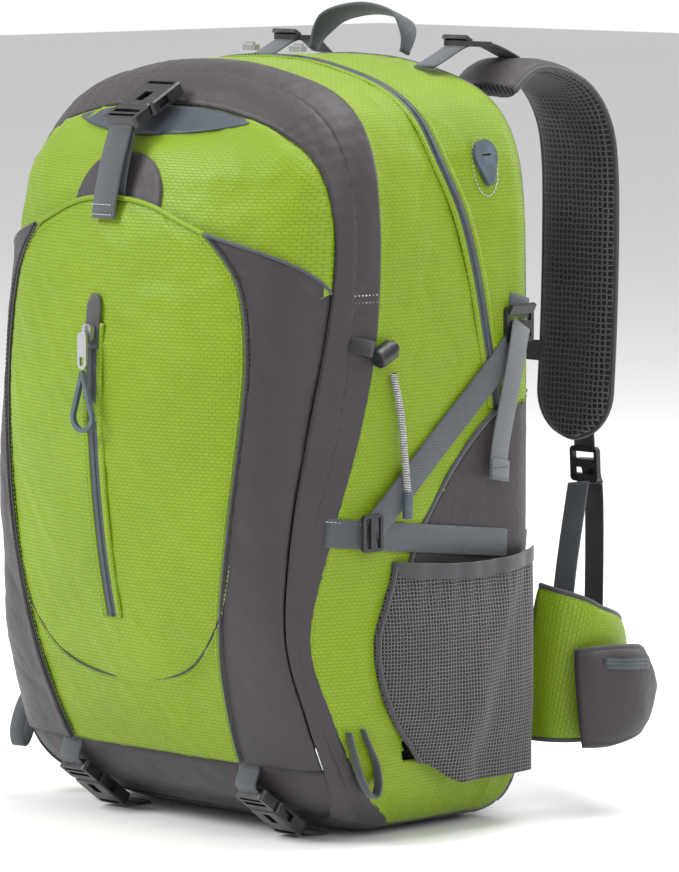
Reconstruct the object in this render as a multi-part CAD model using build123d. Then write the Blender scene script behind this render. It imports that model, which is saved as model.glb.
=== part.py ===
"""A 40 litre hiking backpack, standing on its base.

Millimetres. +Z is up, -Y is the front (away from the wearer), +Y is the back panel side, +X is the
wearer's left. The origin is on the base panel's flat underside, midway between the side walls.
"""
from build123d import *
import math
import os

# ---- driving dimensions -------------------------------------------------------------------------
HALF_WIDTH = 163.0      # side walls stand at x = +-163
BODY_BOTTOM = 4.0       # lowest point of the sewn body, just above the base panel
BODY_TOP = 545.0        # crown of the arch
BACK_Y = 105.0          # back wall of the main compartment
ARCH_START = 430.0      # height where the side walls begin to close into the arch
CROWN_START = 400.0     # height where the front begins to lean back
POCKET_DEPTH = 13.0     # how far the front pocket stands off the front compartment
POCKET_FOOT = 58.0      # height of the front pocket's lower seam, where it stands off by a third of that
ZIP_RADIUS = 880.0      # side-view radius of the front pocket's zipper line
ZIP_CREST_Z = 315.0     # height of the front pocket's crest
ZIP_CREST_Y = -172.0    # and how far forward it stands
ZIP_SLIDER_Z = 357.0    # where the front slider is parked
WALL = 2.5              # fabric, foam backing and lining together
GAP = 0.3               # clearance between separate soft parts
WEB = 20.0              # side and harness webbing width
WIDE_WEB = 25.0         # front strap and hip webbing width
WEB_T = 1.8             # webbing thickness
STRAP_X = 100.0         # centre of each shoulder strap
STRAP_W = 72.0          # shoulder strap width
STRAP_T = 14.0          # shoulder strap foam thickness
BELT_Z = 95.0           # middle height of the hip belt's webbing
BELT_FRONT_Y = 250.0    # how far behind the back wall the buckled belt reaches
STERNUM_Z = 325.0       # height of the sternum strap
HANDLE_Y = 90.0         # the grab handle's pivot, on the crown's back edge
HANDLE_Z = 548.0

os.makedirs("parts", exist_ok=True)


# ---- the body's section at a given height -------------------------------------------------------
def quarter(share):
    """Height of a quarter circle of radius 1 at that share of its base."""
    return math.sqrt(max(0.0, 1.0 - min(1.0, share) ** 2))


def half_width(z):
    if z > ARCH_START:
        share = (z - ARCH_START) / (BODY_TOP - ARCH_START)
        return HALF_WIDTH * max(0.0, 1 - share ** 2.3) ** (1 / 2.3)
    if z < 45:
        return HALF_WIDTH - 25 * (1 - quarter((45 - z) / 41))
    return HALF_WIDTH


def back_y(z):
    if z > 470:
        return BACK_Y - 25 * (1 - quarter((z - 470) / (BODY_TOP - 470)))
    if z < 30:
        return BACK_Y - 12 * (1 - quarter((30 - z) / 26))
    return BACK_Y


def front_y(z):
    """The front compartment's crest, on the centre line."""
    crest = ZIP_CREST_Y + POCKET_DEPTH
    if z > CROWN_START:
        share = min(1.0, (z - CROWN_START) / (BODY_TOP - CROWN_START))
        return -52 - 103 * (1 - share ** 1.6) ** (1 / 1.6)
    if z > 170:
        return crest + (z - ZIP_CREST_Z) ** 2 / (2 * ZIP_RADIUS)
    return -30 - 117 * quarter((170 - z) / 166)


def side_front_y(z):
    """Where the side wall turns into the domed front."""
    if z > CROWN_START:
        return -45 - 33 * quarter((z - CROWN_START) / (BODY_TOP - CROWN_START))
    if z > 210:
        return -78 - 14 * (1 - math.cos(math.pi * (CROWN_START - z) / 190))
    return -30 - 76 * quarter((210 - z) / 206)


def dome_y(x, z, proud=0.0):
    """The domed front at a point, standing off by proud at its crest."""
    share = min(1.0, abs(x) / half_width(z))
    rise = (1 - share ** 2.2) ** (1 / 2.2)
    proud = proud * min(1.0, 0.34 + 0.66 * max(0.0, z - POCKET_FOOT) / 100)
    return side_front_y(z) - (side_front_y(z) - front_y(z) + proud) * rise


def half_section(z, inset=0.0, proud=0.0):
    """The right half of the body's outline at one height, as a face."""
    w, back = half_width(z) - inset, back_y(z) - inset
    corner = 26 - inset
    shares = (0.92, 0.7, 0.4, 0.0)
    dome = [(share * w, dome_y(share * half_width(z), z, proud) + inset) for share in shares]
    edges = [
        Line((0, back), (w - corner, back)),
        ThreePointArc((w - corner, back), (w - corner * 0.293, back - corner * 0.293), (w, back - corner)),
        Line((w, back - corner), (w, side_front_y(z))),
        Spline((w, side_front_y(z)), *dome, tangents=[(0, -1), (-1, 0)]),
        Line(dome[-1], (0, back)),
    ]
    return Pos(0, 0, z) * make_face(edges)


def half_body(inset=0.0, proud=0.0):
    """The body's right half, the surface shrunk by inset and its front standing off by proud."""
    low, high = BODY_BOTTOM + inset, BODY_TOP - 2 - inset
    steps = (8, 15, 26, 45, 80, 120, 170, 240, 315, 375, 430, 460, 485, 505, 520, 529, 535, 539, 541.5)
    heights = [low] + [z for z in steps if low < z < high - 0.5] + [high]
    return loft([half_section(z, inset, proud) for z in heights], ruled=True)


# ---- small shape helpers ------------------------------------------------------------------------
def ribbon(points, thickness, width, plane):
    """Webbing that follows a smooth line in a plane, its width along the plane's normal."""
    sides = ([], [])
    last = len(points) - 1
    for i, (a, b) in enumerate(points):
        ahead, behind = points[min(i + 1, last)], points[max(i - 1, 0)]
        run = (ahead[0] - behind[0], ahead[1] - behind[1])
        length = math.hypot(*run)
        off = (-run[1] / length * thickness / 2, run[0] / length * thickness / 2)
        sides[0].append((a + off[0], b + off[1]))
        sides[1].append((a - off[0], b - off[1]))
    if last == 1:
        edges = [
            Line(*sides[0]),
            Line(sides[0][1], sides[1][1]),
            Line(*reversed(sides[1])),
            Line(sides[1][0], sides[0][0]),
        ]
    else:
        edges = [
            Spline(*sides[0]),
            Line(sides[0][-1], sides[1][-1]),
            Spline(*reversed(sides[1])),
            Line(sides[1][0], sides[0][0]),
        ]
    return extrude(plane * make_face(edges), width / 2, both=True)


def side_view(x):
    """A plane parallel to the side walls, local x along +Y and local y along +Z."""
    return Plane(origin=(x, 0, 0), x_dir=(0, 1, 0), z_dir=(1, 0, 0))


def front_view(y):
    """A plane parallel to the back panel, local x along +X and local y along +Z."""
    return Plane(origin=(0, y, 0), x_dir=(1, 0, 0), z_dir=(0, -1, 0))


def flat_strip(start, end, width, x_low, thickness):
    """A straight strip lying flat against a side wall, between two (y, z) points."""
    (y0, z0), (y1, z1) = start, end
    middle = Plane(
        origin=(x_low, (y0 + y1) / 2, (z0 + z1) / 2),
        x_dir=(0, y1 - y0, z1 - z0),
        z_dir=(1, 0, 0),
    )
    return extrude(middle * Rectangle(math.hypot(y1 - y0, z1 - z0), width), thickness)


def slab(size, middle, radius):
    """A box with its upright edges rounded."""
    block = Pos(*middle) * Box(*size)
    return fillet(block.edges().filter_by(Axis.Z), radius)


def mirrored(shape):
    return mirror(shape, about=Plane.YZ)


def on(plane, shape):
    return plane.location * shape


def save(name, shape):
    solids = shape.solids()
    export_step(Compound(children=list(solids)) if len(solids) > 1 else solids[0], f"parts/{name}.step")


def save_pair(name, shape):
    save(name + "_right", shape)
    save(name + "_left", mirrored(shape))


# ---- hardware, each in its own local frame ------------------------------------------------------
def buckle_socket(web):
    """Side-release buckle, socket half. It lies along -X, its mouth at x = 0."""
    half = web / 2 + 4
    body = fillet((Pos(-17, 0, 0) * Box(34, 2 * half, 9.5)).edges().filter_by(Axis.Z), 4)
    body = chamfer(body.faces().sort_by(Axis.Z)[-1].edges(), 1.2)
    body -= Pos(-11, 0, 0) * Box(22.2, 2 * half - 5, 6)
    for side in (-1, 1):
        body -= Pos(-12, side * half, 0) * Box(10, 8, 5.6)
    body -= Pos(-29, 0, 0) * Box(3.4, web + 1, 12)
    return body - Pos(-11, 0, 4) * Box(12, web * 0.35, 4)


def buckle_plug(web):
    """Side-release buckle, plug half. Its prongs reach back into the socket from x = 0."""
    half = web / 2 + 4
    body = fillet((Pos(9.3, 0, 0) * Box(18, 2 * half, 8)).edges().filter_by(Axis.Z), 3.5)
    body -= Pos(8, 0, 0) * Box(4, web + 1, 12)
    body -= Pos(14, 0, 1.5) * Box(3, web + 1, 9)
    for side in (-1, 1):
        body += Pos(-9, side * (half - 5.4), 0) * Box(20, 4.6, 5)
    return body + Pos(-6, 0, 0) * Box(14, 4, 5)


def ladder_lock(web):
    """Webbing adjuster lying in XY, the webbing running along Y."""
    half = web / 2 + 3.5
    body = fillet((Box(2 * half, 26, 4)).edges().filter_by(Axis.Z), 3.5)
    for middle, length in ((-6.5, 5.5), (5.0, 5.0)):
        body -= Pos(0, middle, 0) * Box(web + 1, length, 10)
    lip = Pos(0, 11.2, 3.2) * Rot(28, 0, 0) * Box(2 * half - 3, 7, 3)
    return body + lip


def triglide(web):
    half = web / 2 + 3
    body = fillet((Box(2 * half, 19, 3)).edges().filter_by(Axis.Z), 3)
    for middle in (-4.6, 4.6):
        body -= Pos(0, middle, 0) * Box(web + 1, 4.6, 8)
    return body


def zip_slider():
    """Slider body lying in XZ against a surface at y = 0, its nose up."""
    body = fillet((Pos(0, -2, 0) * Box(9, 4, 12)).edges().filter_by(Axis.Y), 2.5)
    return body + Pos(0, -4.6, 1) * Box(2.2, 2.6, 8)


# ---- soft body ----------------------------------------------------------------------------------
def compartments():
    """The main and front compartments, hollow, sewn together along one curved seam."""
    seam = [
        (-45, 560), (-51, 464), (-55, 382), (-74, 285), (-114, 167),
        (-121, 130), (-101, 71), (-60, 26), (-27, 12),
    ]

    def behind(clearance):
        line = [(y + clearance, z) for y, z in seam]
        edges = [
            Spline(*line),
            Polyline(line[-1], (line[-1][0], -20), (200, -20), (200, 560), line[0]),
        ]
        return extrude(side_view(0) * make_face(edges), 250, both=True)

    outer, inner = half_body(), half_body(WALL)
    main = (outer & behind(GAP / 2)) - (inner & behind(WALL))
    front = (outer - behind(-GAP / 2)) - (inner - behind(-WALL))
    return main + mirrored(main), front + mirrored(front)


def front_pocket():
    """The stash pocket's outer panel: a domed sheet, open along its top edge."""
    outline = [
        Line((0, POCKET_FOOT), (118, POCKET_FOOT)),
        Line((118, POCKET_FOOT), (146, 110)),
        Line((146, 110), (146, 385)),
        ThreePointArc((146, 385), (75, 431), (0, 447)),
        Line((0, 447), (0, POCKET_FOOT)),
    ]
    dome = half_body(0.0, POCKET_DEPTH) & extrude(front_view(-60) * make_face(outline), 150)
    dome = dome - half_body(WALL, POCKET_DEPTH)
    return dome + mirrored(dome)


def pocket_tongue():
    """The gusset tongue that closes the stash pocket behind the front strap."""
    line = [(-151.0, 436), (-142.4, 458), (-130.2, 482)]
    leaf = ribbon(line, 1.5, 88, side_view(0))
    return leaf & extrude(front_view(-100) * (Pos(-2, 438) * Circle(44)), 100)


def base_panel():
    return slab((2 * 138, 132, BODY_BOTTOM - GAP), (0, 26, (BODY_BOTTOM - GAP) / 2), 24)


def back_panel():
    plate = Pos(0, BACK_Y + GAP + 3, 262) * Box(276, 6, 470)
    return fillet(plate.edges().filter_by(Axis.Y), 45)


def back_pads():
    """Two long pads beside the air channel, and the lumbar pad under them."""
    low = BACK_Y + 6 + 2 * GAP
    long_pad = fillet((Pos(68, low + 5, 318) * Box(96, 10, 250)).edges().filter_by(Axis.Y), 22)
    lumbar = fillet((Pos(0, low + 6, 112) * Box(232, 12, 110)).edges().filter_by(Axis.Y), 30)
    return Compound(children=[long_pad.solid(), mirrored(long_pad).solid(), lumbar.solid()])


def yoke():
    """The band that the shoulder straps are sewn into."""
    plate = Pos(0, BACK_Y + 6 + 2 * GAP + 2, 484) * Box(250, 4, 26)
    return fillet(plate.edges().filter_by(Axis.Y), 9)


def frame_sheet():
    sheet = Pos(0, BACK_Y - 7, 262) * Box(236, 2, 440)
    return fillet(sheet.edges().filter_by(Axis.Y), 40)


def side_pocket():
    """A stretch pocket on the side wall: a bowed wall with a floor, open at the top."""
    low, high, front, rear, bow = 42.0, 186.0, -50.0, 100.0, 27.0
    x0 = HALF_WIDTH + GAP

    def bowed(depth, start, end):
        edges = [
            Line((x0, start), (x0, end)),
            Spline((x0, end), (x0 + depth * 0.8, end - 26), (x0 + depth, (start + end) / 2),
                   (x0 + depth * 0.8, start + 26), (x0, start)),
        ]
        return make_face(edges)

    outer = extrude(Pos(0, 0, low) * bowed(bow, front, rear), high - low)
    inner = extrude(Pos(0, 0, low + 4) * bowed(bow - 2, front + 5, rear - 5), high - low)
    return outer - inner


# ---- front closure ------------------------------------------------------------------------------
def buckle_plane():
    """The front buckle lies on the crest, its plug pointing down and forward."""
    return Plane(origin=(0, -128.5, 511), x_dir=(0, -0.88, -0.475), z_dir=(0, -0.475, 0.88))


def buckle_patch():
    """The coated patch that carries the front buckle's socket."""
    line = [(dome_y(0, z) - 2.0, z) for z in (482, 492, 502, 511)]
    return ribbon(line, 1.4, 60, side_view(0))


def front_strap():
    """Webbing from the stash pocket's edge up into the buckle's plug."""
    top = buckle_plane().from_local_coords(Vector(15, 0, 0))
    line = [(-167.5, 425), (-164.5, 440), (-159.5, 458), (-153.0, 478), (top.Y - 4.6, top.Z - 4.2)]
    return ribbon(line, WEB_T, WIDE_WEB - 2, side_view(0))


def crest(z, proud):
    """A point in side view standing proud of the front pocket's crest."""
    return (ZIP_CREST_Y + (z - ZIP_CREST_Z) ** 2 / (2 * ZIP_RADIUS) - proud, z)


def front_zip_tape():
    return ribbon([crest(z, 1.1) for z in (172, 222, 270, 328, 384)], 1.4, 13, side_view(0))


def front_zip_slider():
    return Pos(0, crest(ZIP_SLIDER_Z, 2.1)[0], ZIP_SLIDER_Z) * Rot(-2.5, 0, 0) * zip_slider()


def front_zip_pull():
    """The metal tab, hanging in front of the slider's bridge."""
    y = crest(ZIP_SLIDER_Z, 0)[0] - 9.4
    tab = fillet((Pos(0, y, ZIP_SLIDER_Z - 12) * Box(9, 1.8, 26)).edges().filter_by(Axis.Y), 4)
    return tab - Pos(0, y, ZIP_SLIDER_Z - 19.5) * Box(4, 6, 6)


def front_zip_grip():
    """Cord loop and rubber grip on the end of the tab."""
    y = crest(ZIP_SLIDER_Z, 0)[0] - 9.4
    low, high = ZIP_SLIDER_Z - 58, ZIP_SLIDER_Z - 27.6
    loop = Wire([
        Line((0, high), (-10, low)),
        ThreePointArc((-10, low), (0, low - 10), (10, low)),
        Line((10, low), (0, high)),
    ])
    face = make_face(loop.edges())
    return extrude(front_view(y) * (offset(face, 1.6) - offset(face, -1.6)), 1.6, both=True)


def main_zip_tape():
    """The main zipper's closed tape: up one side wall, over the crown and down the other side."""
    arch = [(half_width(z) + 2.0, z) for z in (474, 492, 508, 521, 531)]
    arch = arch + [(62, 541.0), (34, 545.0), (0, 546.2)]
    arch = arch + [(-x, z) for x, z in reversed(arch[:-1])]
    pieces = [ribbon(arch, 1.2, 9, front_view(5)).solid()]
    for start, end in (((65, 301), (46, 384)), ((45.4, 388), (24, 452))):
        strip = flat_strip(start, end, 9, HALF_WIDTH + GAP, 1.2)
        pieces += [strip.solid(), mirrored(strip).solid()]
    return Compound(children=pieces)


# ---- side straps and fittings -------------------------------------------------------------------
SIDE = HALF_WIDTH + GAP


def lower_compression_strap():
    return flat_strip((-98, 224), (101, 200), WEB, SIDE + 0.4, WEB_T)


def diagonal_strap():
    up = flat_strip((-54, 232), (70, 336), WEB, SIDE + 4.2, WEB_T)
    anchor = flat_strip((85, 374), (89, 392), WEB, SIDE + 0.4, WEB_T)
    tail = ribbon([(SIDE + 9.6, 341), (SIDE + 11.5, 310), (SIDE + 10.2, 280), (SIDE + 12.0, 252)], WEB_T, 17,
                  front_view(71))
    return Compound(children=[up.solid(), anchor.solid(), tail.solid()])


def compression_buckles():
    lock = on(Plane(origin=(SIDE + 3.4, 84, 358), x_dir=(0, 1, 0), z_dir=(1, 0, 0)), ladder_lock(WEB))
    glide = on(Plane(origin=(SIDE + 8.0, -66, 222), x_dir=(0, 0, 1), z_dir=(1, 0, 0)), triglide(WEB))
    return lock, glide


CORD_D = 5.0
CORD_ROUTE = [   # centre line of the pole cord, from the lock down to its end tab
    (168.6, -43.0, 331), (169.8, -39.5, 316), (171.6, -37.6, 298),
    (173.2, -37.0, 279), (174.6, -36.2, 262), (175.4, -35.4, 248),
]


def pole_cord():
    """The elastic cord that holds a trekking pole, hanging over the diagonal strap."""
    radii = []
    for a, b, c in zip(CORD_ROUTE, CORD_ROUTE[1:], CORD_ROUTE[2:]):
        into, out = Vector(*b) - Vector(*a), Vector(*c) - Vector(*b)
        turn = math.radians(into.get_angle(out))
        radii.append(0.45 * min(into.length, out.length) / math.tan(turn / 2))
    path = FilletPolyline(*CORD_ROUTE, radius=radii)
    start = Plane(origin=path @ 0, z_dir=path % 0)
    return sweep(start * Circle(CORD_D / 2), path=path)


def lock_plane():
    """The cord lock hangs from its ribbon, its button pointing back and up."""
    return Plane(origin=(169.5, -53, 345), x_dir=(1, 0, 0), z_dir=(0, 0.9, 0.44))


def cord_lock_barrel():
    barrel = Cylinder(7.2, 15) - Pos(0, 0, 4) * Cylinder(5.2, 12)
    return on(lock_plane(), fillet(barrel.edges().sort_by(Axis.Z)[0], 1.5))


def cord_lock_button():
    return on(lock_plane(), Pos(0, 0, 6.4) * Cylinder(4.8, 10))


def cord_anchor():
    """The ribbon tab sewn into the gusset seam that carries the cord lock."""
    return Pos(SIDE + 2.4, -71, 352) * Rot(-20, 0, 0) * Box(2.2, 15, 11)


def cord_tab():
    x, y, z = CORD_ROUTE[-1]
    tab = Pos(x, y + 0.4, z - 9.2) * Box(6, 8, 18)
    return fillet(tab.edges().filter_by(Axis.X), 3)


def tool_loop():
    line = [(-79, 83), (-75, 66), (-69, 48), (-60, 36), (-54, 42), (-55, 58), (-61, 72), (-65, 83)]
    return ribbon(line, WEB_T, 11, side_view(SIDE + 6.4))


def earphone_port():
    """A rubber grommet in the side wall, teardrop shaped."""
    outline = make_hull([*(Pos(0, 6) * Circle(11)).edges(), *(Pos(0, -12) * Circle(4)).edges()])
    plate = Plane(origin=(158.6, 58, 472), x_dir=(0, 1, 0.04), z_dir=(0.975, 0, 0.22))
    port = extrude(plate * outline, 3)
    return port - extrude(plate * (Pos(0, 6) * Rectangle(9, 1.4)), 3)


def base_buckle_plane():
    """The base buckles follow the lower front edge, the plug uppermost."""
    return Plane(origin=(92, -93.8, 25.8), x_dir=(0, -0.8, 0.6), z_dir=(0, -0.6, -0.8))


def base_webbing():
    """The stub under the base panel's front edge that holds each base buckle's socket."""
    plane = base_buckle_plane()
    line = [plane.from_local_coords(Vector(-36.4, 0, -1.0)), Vector(0, -54, 1.9), Vector(0, -43, 1.3)]
    return ribbon([(p.Y, p.Z) for p in line], WEB_T, WEB, side_view(92))


# ---- harness ------------------------------------------------------------------------------------
NEAR_LINE = [
    (117, 527), (138, 535), (166, 533), (192, 520), (210, 496),
    (217, 464), (218, 410), (216, 340), (211, 262),
]
FAR_LINE = [(117, 527), (132, 533), (148, 522), (161, 496), (176, 450), (192, 395), (205, 330), (211, 262)]


def shoulder_strap(line, side):
    """A padded strap that leaves the yoke, goes over the shoulder and ends above the hip belt."""
    pad = ribbon(line, STRAP_T, STRAP_W, side_view(side * STRAP_X))
    tip = Pos(side * STRAP_X, 211, 258) * Box(STRAP_W + 10, 60, 70)
    rounded = Pos(side * STRAP_X, 211, 286) * Rot(90, 0, 0) * Cylinder(STRAP_W / 2 - 0.5, 80)
    shoulder = Pos(side * STRAP_X, 211, 312) * Box(STRAP_W + 10, 80, 52)
    return (pad - tip) + (pad & tip & (rounded + shoulder))


def strap_lock(side):
    plane = Plane(origin=(side * STRAP_X, 224, 243), x_dir=(1, 0, 0), z_dir=(0, 1, 0.05))
    return on(plane, ladder_lock(WEB))


def adjuster_webbing():
    """Webbing from the wing at the hip up into the strap's ladder lock."""
    line = [(160, 134.5), (178, 156), (198, 186), (212, 214), (218, 226)]
    return ribbon(line, WEB_T, WEB, side_view(122))


def anchor_wing():
    """The fabric wing at the pack's lower corner that the adjuster webbing is sewn into."""
    outline = Polyline((118, 168), (118, 96), (156, 118), (156, 130), close=True)
    return extrude(side_view(122) * make_face(outline), 1.5, both=True)


def load_lifter(side):
    """The short strap from the pack's crown to its adjuster, and the adjuster."""
    web = ribbon([(72, 536.2), (85, 544.0), (98, 550.2)], WEB_T, WEB, side_view(side * 88))
    lock = on(Plane(origin=(side * 88, 112.5, 553.0), x_dir=(-1, 0, 0), z_dir=(0, 0.05, 1)), ladder_lock(WEB))
    return web, lock


def haul_handle():
    """A webbing grab loop on the crown's back edge, leaning back, its feet folded narrow."""
    line = [(-47, 545.5), (-45, 560), (-33, 573), (0, 579), (33, 573), (45, 560), (47, 545.5)]
    loop = ribbon(line, 3.0, WEB, front_view(HANDLE_Y))
    side = Polyline(
        (HANDLE_Y - 4, 544), (HANDLE_Y - 4, 556), (HANDLE_Y - 11, 563), (HANDLE_Y - 11, 590),
        (HANDLE_Y + 11, 590), (HANDLE_Y + 11, 563), (HANDLE_Y + 4, 556), (HANDLE_Y + 4, 544),
        close=True,
    )
    loop = loop & extrude(side_view(0) * make_face(side), 100, both=True)
    return loop.rotate(Axis((0, HANDLE_Y, HANDLE_Z), (1, 0, 0)), -22)


# ---- sternum strap ------------------------------------------------------------------------------
def sternum_parts():
    """The webbing stub on each strap and the small buckle between them."""
    y = 212.0
    at = Plane(origin=(9, y, STERNUM_Z), x_dir=(1, 0, 0), z_dir=(0, 1, 0))
    fixed_stub = Pos(-45, y, STERNUM_Z) * Box(37, WEB_T, 15)
    moving_stub = Pos(33.5, y, STERNUM_Z) * Box(10.5, WEB_T, 15)
    return fixed_stub, moving_stub, on(at, buckle_socket(15)), on(at, buckle_plug(15))


# ---- hip belt -----------------------------------------------------------------------------------
FIN_LINE = [(135, 131), (156, 137), (169, 153), (170, 176), (158, 199), (136, 218), (106, 232)]


def hip_fin():
    """One padded wing of the belt, wrapping forward from the lumbar pad and tapering to its tip."""
    outline = Polyline(
        (120, 172), (128, 172), (240, 122), (240, 72), (200, 58), (126, 54), (120, 54),
        close=True,
    )
    band = ribbon(FIN_LINE, 12, 65, Plane.XY.offset(113))
    return band & extrude(side_view(0) * make_face(outline), 300)


def hip_pocket():
    line = [(181.6, 149), (190.1, 162), (190.1, 180), (181.1, 203.4), (166.6, 218.4)]
    return ribbon(line, 14, 60, Plane.XY.offset(90))


def hip_pocket_zip():
    return ribbon([(198.4, 164), (199.2, 172), (198.3, 182), (192.7, 197.2)], 1.4, 8, Plane.XY.offset(104))


def hip_web():
    line = [(103.5, 240.4), (84, 246), (58, 249.2), (30, BELT_FRONT_Y)]
    return ribbon(line, WEB_T, WIDE_WEB, Plane.XY.offset(BELT_Z))


def hip_buckle():
    at = Plane(origin=(9, BELT_FRONT_Y, BELT_Z), x_dir=(1, 0, 0), z_dir=(0, 1, 0))
    return on(at, buckle_socket(WIDE_WEB)), on(at, buckle_plug(WIDE_WEB))


def main_zip_slider():
    """A slider near the middle of the crown, its nose along +X."""
    return Pos(24, 5, BODY_TOP + 3.4) * Rot(0, 0, -90) * Rot(-90, 0, 0) * zip_slider()


def save_both(name, shape):
    """Two mirror-image pieces of one kind, fixed to the same part, as one node."""
    save(name, Compound(children=list(shape.solids()) + list(mirrored(shape).solids())))


def build():
    main, front = compartments()
    save("main_compartment", main)
    save("front_compartment", front)
    save("front_pocket", front_pocket())
    save("pocket_tongue", pocket_tongue())
    save("base_panel", base_panel())
    save("back_panel", back_panel())
    save("back_pads", back_pads())
    save("yoke", yoke())
    save("frame_sheet", frame_sheet())
    save_pair("side_pocket", side_pocket())

    save("buckle_patch", buckle_patch())
    save("front_strap", front_strap())
    save("front_buckle_socket", on(buckle_plane(), buckle_socket(WIDE_WEB)))
    save("front_buckle_plug", on(buckle_plane(), buckle_plug(WIDE_WEB)))
    save("front_zip_tape", front_zip_tape())
    save("front_zip_slider", front_zip_slider())
    save("front_zip_pull", front_zip_pull())
    save("front_zip_grip", front_zip_grip())
    save("main_zip_tape", main_zip_tape())
    save_pair("main_zip_slider", main_zip_slider())

    lock, glide = compression_buckles()
    save_both("lower_compression_straps", lower_compression_strap())
    save_both("diagonal_straps", diagonal_strap())
    save_both("compression_locks", lock)
    save_both("triglides", glide)
    save_both("pole_cords", pole_cord())
    save_both("cord_lock_barrels", cord_lock_barrel())
    save_pair("cord_lock_button", cord_lock_button())
    save_both("cord_anchors", cord_anchor())
    save_both("cord_tabs", cord_tab())
    save_both("tool_loops", tool_loop())
    save("earphone_port", earphone_port())
    save_both("base_webbing", base_webbing())
    save_both("base_buckle_sockets", on(base_buckle_plane(), buckle_socket(WEB)))
    save_pair("base_buckle_plug", on(base_buckle_plane(), buckle_plug(WEB)))

    for side, name, line in ((1, "right", NEAR_LINE), (-1, "left", FAR_LINE)):
        save("shoulder_strap_" + name, shoulder_strap(line, side))
        save("strap_lock_" + name, strap_lock(side))
    save_pair("adjuster_webbing", adjuster_webbing())
    save_both("anchor_wings", anchor_wing())
    lifter_web, lifter_lock = load_lifter(1)
    save_both("load_lifter_webbing", lifter_web)
    save_both("load_lifter_locks", lifter_lock)
    save("haul_handle", haul_handle())

    fixed_stub, moving_stub, socket, plug = sternum_parts()
    save("sternum_webbing_left", fixed_stub)
    save("sternum_webbing_right", moving_stub)
    save("sternum_socket", socket)
    save("sternum_plug", plug)

    save_pair("hip_fin", hip_fin())
    save_pair("hip_pocket", Compound(children=[hip_pocket().solid(), hip_pocket_zip().solid()]))
    save_pair("hip_webbing", hip_web())
    socket, plug = hip_buckle()
    save("hip_socket", socket)
    save("hip_plug", plug)


if __name__ == "__main__":
    build()
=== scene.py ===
"""A 40 litre hiking backpack: sewn shell, mesh pockets, webbing, buckles, harness and hip belt.

The tables below are in millimetres, in the CAD frame: +X right from the front, -Y front, +Z up.
"""
import math

import bpy
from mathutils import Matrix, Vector, noise


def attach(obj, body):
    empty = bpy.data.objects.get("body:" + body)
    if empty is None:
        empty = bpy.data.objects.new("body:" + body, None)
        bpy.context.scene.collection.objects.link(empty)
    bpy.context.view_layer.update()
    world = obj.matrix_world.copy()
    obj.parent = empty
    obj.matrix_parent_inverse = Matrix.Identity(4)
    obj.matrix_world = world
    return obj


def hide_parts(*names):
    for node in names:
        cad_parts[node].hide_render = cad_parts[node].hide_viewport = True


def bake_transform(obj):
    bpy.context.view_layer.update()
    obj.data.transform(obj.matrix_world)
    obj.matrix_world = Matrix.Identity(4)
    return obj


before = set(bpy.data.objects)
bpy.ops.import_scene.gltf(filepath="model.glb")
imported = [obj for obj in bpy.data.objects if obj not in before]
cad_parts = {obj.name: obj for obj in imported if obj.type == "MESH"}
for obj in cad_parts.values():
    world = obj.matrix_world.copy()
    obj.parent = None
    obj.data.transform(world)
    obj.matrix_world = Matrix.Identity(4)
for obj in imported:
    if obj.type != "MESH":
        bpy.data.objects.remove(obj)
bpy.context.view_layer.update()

MM = 0.001
STEP = 3.2       # spacing of the fabric's mesh

# ---- the sewn shell ------------------------------------------------------------------------------
# The shell's arch, from the middle of the base, up the side wall, to the middle of the crown.
ARCH = [
    (0, 1.5), (60, 1.5), (112, 3), (141, 15), (156, 45), (161, 95), (162, 150), (162.3, 220), (162.3, 290),
    (162.2, 350), (161.5, 400), (160, 440), (154, 476), (140, 504), (116, 522.5),
    (80, 533.5), (40, 540.5), (0, 542.5),
]
# How far back each sewn line lies at those 18 stations.
BACK_EDGE = [88, 90, 94, 98, 102, 104, 105, 105, 105, 105, 105, 105, 103, 100, 95, 90, 86, 84]
ZIP_LINE = [60, 60, 62, 66, 68, 70, 70, 69, 66, 54, 43, 30, 14, 8, 4, 4, 5, 5]
LIME_EDGE = [20, 15, 0, -24, -64, -92, -108, -92, -70, -56, -51, -50, -49, -49, -50, -52, -53, -53]
SLIT_LINE = [-18, -20, -30, -46, -76, -101, -116, -106, -88, -78, -73, -71, -72, -73, -74, -75, -75, -75]
FRONT_EDGE = [-50, -51, -56, -68, -88, -108, -122, -119, -108, -96, -88, -86, -88, -92, -95, -96, -97, -98]
# The front's middle line at the same stations.
CREST = [
    -50, -54, -62, -76, -106, -131, -148, -161, -167,
    -166, -159, -150, -138, -127, -117, -108, -102, -100,
]
LAST = len(ARCH) - 1
BASE_TOP = 2.75          # station where the base panel meets the side walls
FRONT_TURN = -50.0       # forward of this the shell turns in towards the front
BACK_TURN = 85.0
FOOT_TURN = -20.0        # under the foot it turns in sooner
POCKET_PROUD = 4.0
ZIP_TOP_Z, ZIP_LOW_Z = 384.0, 156.0


def smooth(values, t):
    """Catmull-Rom value of a table at a fractional index."""
    last = len(values) - 1
    t = min(max(t, 0.0), float(last))
    i = min(int(t), last - 1)
    f = t - i
    p = [values[min(max(k, 0), last)] for k in (i - 1, i, i + 1, i + 2)]
    a = 2 * p[1]
    b = p[2] - p[0]
    c = 2 * p[0] - 5 * p[1] + 4 * p[2] - p[3]
    d = -p[0] + 3 * p[1] - 3 * p[2] + p[3]
    return 0.5 * (a + b * f + c * f * f + d * f ** 3)


def mix(a, b, f):
    return a + (b - a) * f


def ease(f):
    f = min(max(f, 0.0), 1.0)
    return f * f * (3 - 2 * f)


ARCH_X = [p[0] for p in ARCH]
ARCH_Z = [p[1] for p in ARCH]


def arch(i):
    return smooth(ARCH_X, i), smooth(ARCH_Z, i)


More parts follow.
